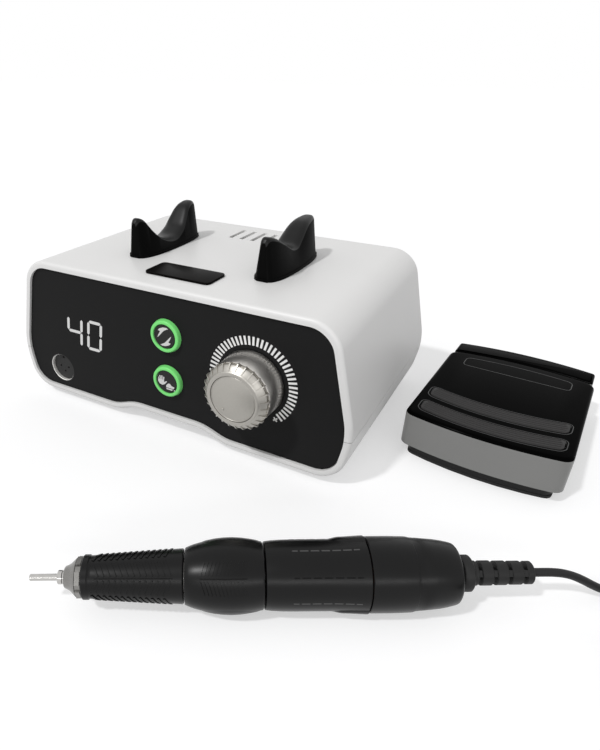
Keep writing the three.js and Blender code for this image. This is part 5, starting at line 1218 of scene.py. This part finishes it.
# The motor housing: a plain black barrel with eight rows of short dashes, and two ramps that run
# out at its rear.
case_table = [
    (80, 11.0), (80.2, 11.3), (82.5, 11.6), (86, 11.8), (90, 11.86), (102, 11.88), (108, 12.1),
    (114.2, 12.45), (114.5, 12.25),
]
ramp_start, ramp_length, ramp_rise, ramp_sink, ramp_last = 101.8, 12.6, 0.62, 0.04, 114.1
ramp_narrow, ramp_widening = 12, 16
dash_places = [
    (88.97, 90.8), (91.6, 94.4), (95.2, 98), (98.8, 101.6), (102.4, 105.2), (106, 108.8),
    (109.5, 111.5),
]
dash_rows, dash_width, dash_height = 8, 0.5, 0.04
case_radius = radius_from(case_table)
case = turned([(80, 7.5), *case_table, (114.5, 10)], closed=True, steps=128)


def ramp(share, across):
    """A ramp on the barrel, which widens and rises towards its rear."""
    u = ramp_start + ramp_length * share
    rise = ramp_rise * eased(share, 0, 0.35) * (1 - across ** 6)
    turn = across * (ramp_narrow + ramp_widening * share ** 0.5)
    return u, turn, case_radius(min(u, ramp_last)) - ramp_sink + rise


for middle in (90, -90):
    laid(case, 16, middle, ramp)
case_piece = set_down("motor_barrel", case, HANDPIECE_AXIS, "set", body_black)
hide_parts("motor_housing")
dash_grey = moulded("dash_grey", (0.06, 0.06, 0.06), 0.4, 0.05, 2000, 0.02, 0.3)
dashes, dark_dashes = bmesh.new(), bmesh.new()
for row in range(dash_rows):
    bm, turn = dark_dashes if row % 4 == 0 else dashes, 360 / dash_rows * row
    for start, end in dash_places:
        wrapped(bm, (start, turn), (end, turn), dash_width, dash_height, case_radius, parts=2)
set_down("barrel_dashes", dashes, HANDPIECE_AXIS, "set", dash_grey)
set_down("barrel_dark_dashes", dark_dashes, HANDPIECE_AXIS, "set", groove_black)

# The rear cap: it closes the motor, with a shallow groove round it and a soft taper to the cord.
# It has the barrel's black finish, and a bore for the strain relief.
rear_profile = [
    (114.8, 10.6), (114.8, 12.4), (115.05, 12.65), (116, 12.74), (123, 12.74), (128.9, 12.58),
    (129.8, 12.45), (129.9, 12.3), (132.6, 12.0), (132.7, 12.05), (136, 11.77), (138.8, 11.53),
    (141.7, 11.06), (144.2, 10.5), (144.9, 10.25), (145.3, 9.8), (145.4, 9.3), (145.4, 3.6),
    (142.8, 3.6), (142.8, 10.4), (118.5, 10.4),
]
rear = turned(rear_profile, closed=True, steps=128)
rear_piece = set_down("rear_cover", rear, HANDPIECE_AXIS, "set", body_black)
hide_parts("rear_cap")

# The strain relief: one soft rubber moulding, a collar and a row of short blocks on a core, so
# that it can bend.
relief_rubber = rubber("relief_rubber", (0.011, 0.011, 0.011), 0.5, 2000)
relief_profile = [
    (142.9, 1.55), (142.9, 3.3), (145.6, 3.3), (145.6, 5.4), (145.8, 5.6), (146.9, 5.6),
    (147.1, 6.0), (147.4, 6.2), (150.4, 6.2), (150.7, 5.9), (150.7, 1.9), (relief_end, 1.9),
    (relief_end, 1.55),
]
relief_blocks = [
    (150.7, 152.9, 4.2), (154.1, 157.9, 4.2), (159.3, 163.1, 4.1), (164.4, 168.3, 4.0),
    (169.7, relief_end, 3.9),
]
web_place, web_width, web_height, web_overlap = -2.6, 2.0, 2.2, 0.4
relief = turned(relief_profile, closed=True, steps=64)
for start, end, radius in relief_blocks:
    take_in(relief, turned([
        (start, 1.8), (start, radius - 0.2), (start + 0.2, radius), (end - 0.2, radius),
        (end, radius - 0.2), (end, 1.8),
    ], closed=True, steps=48))
for (_, start, _), (end, _, _) in zip(relief_blocks, relief_blocks[1:]):
    for turn in (0, math.pi):
        around = Matrix.Rotation(turn - front_turn, 4, "X")
        web = around @ Matrix.Translation(((start + end) / 2, web_place, 0))
        size = Matrix.Diagonal((end - start + web_overlap, web_width, web_height, 1))
        bmesh.ops.create_cube(relief, size=1, matrix=web @ size)
relief_piece = set_down("cord_relief", relief, HANDPIECE_AXIS, "set", relief_rubber)
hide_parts("strain_relief")

# Inside the handpiece: a steel spindle on two ball bearings, with the motor's iron rotor on it.
# The stator round it is wound with copper.
bearing_steel = metal("bearing_steel", (0.6, 0.6, 0.6), 0.2, 0.05)
winding_copper = metal("winding_copper", (0.55, 0.25, 0.12), 0.4, 0.2, (8, 1, 1), 300, 0.2)
refinish(bearing_steel, "front_bearing", "rear_bearing", "spindle")
refinish(core_iron, "motor_rotor")
refinish(winding_copper, "motor_stator")

# The end of the cord: a round plug with a ridged grip, and a soft strap that holds the loops
# together.
refinish(relief_rubber, "cord_tie")
refinish(socket_black, "cord_plug")
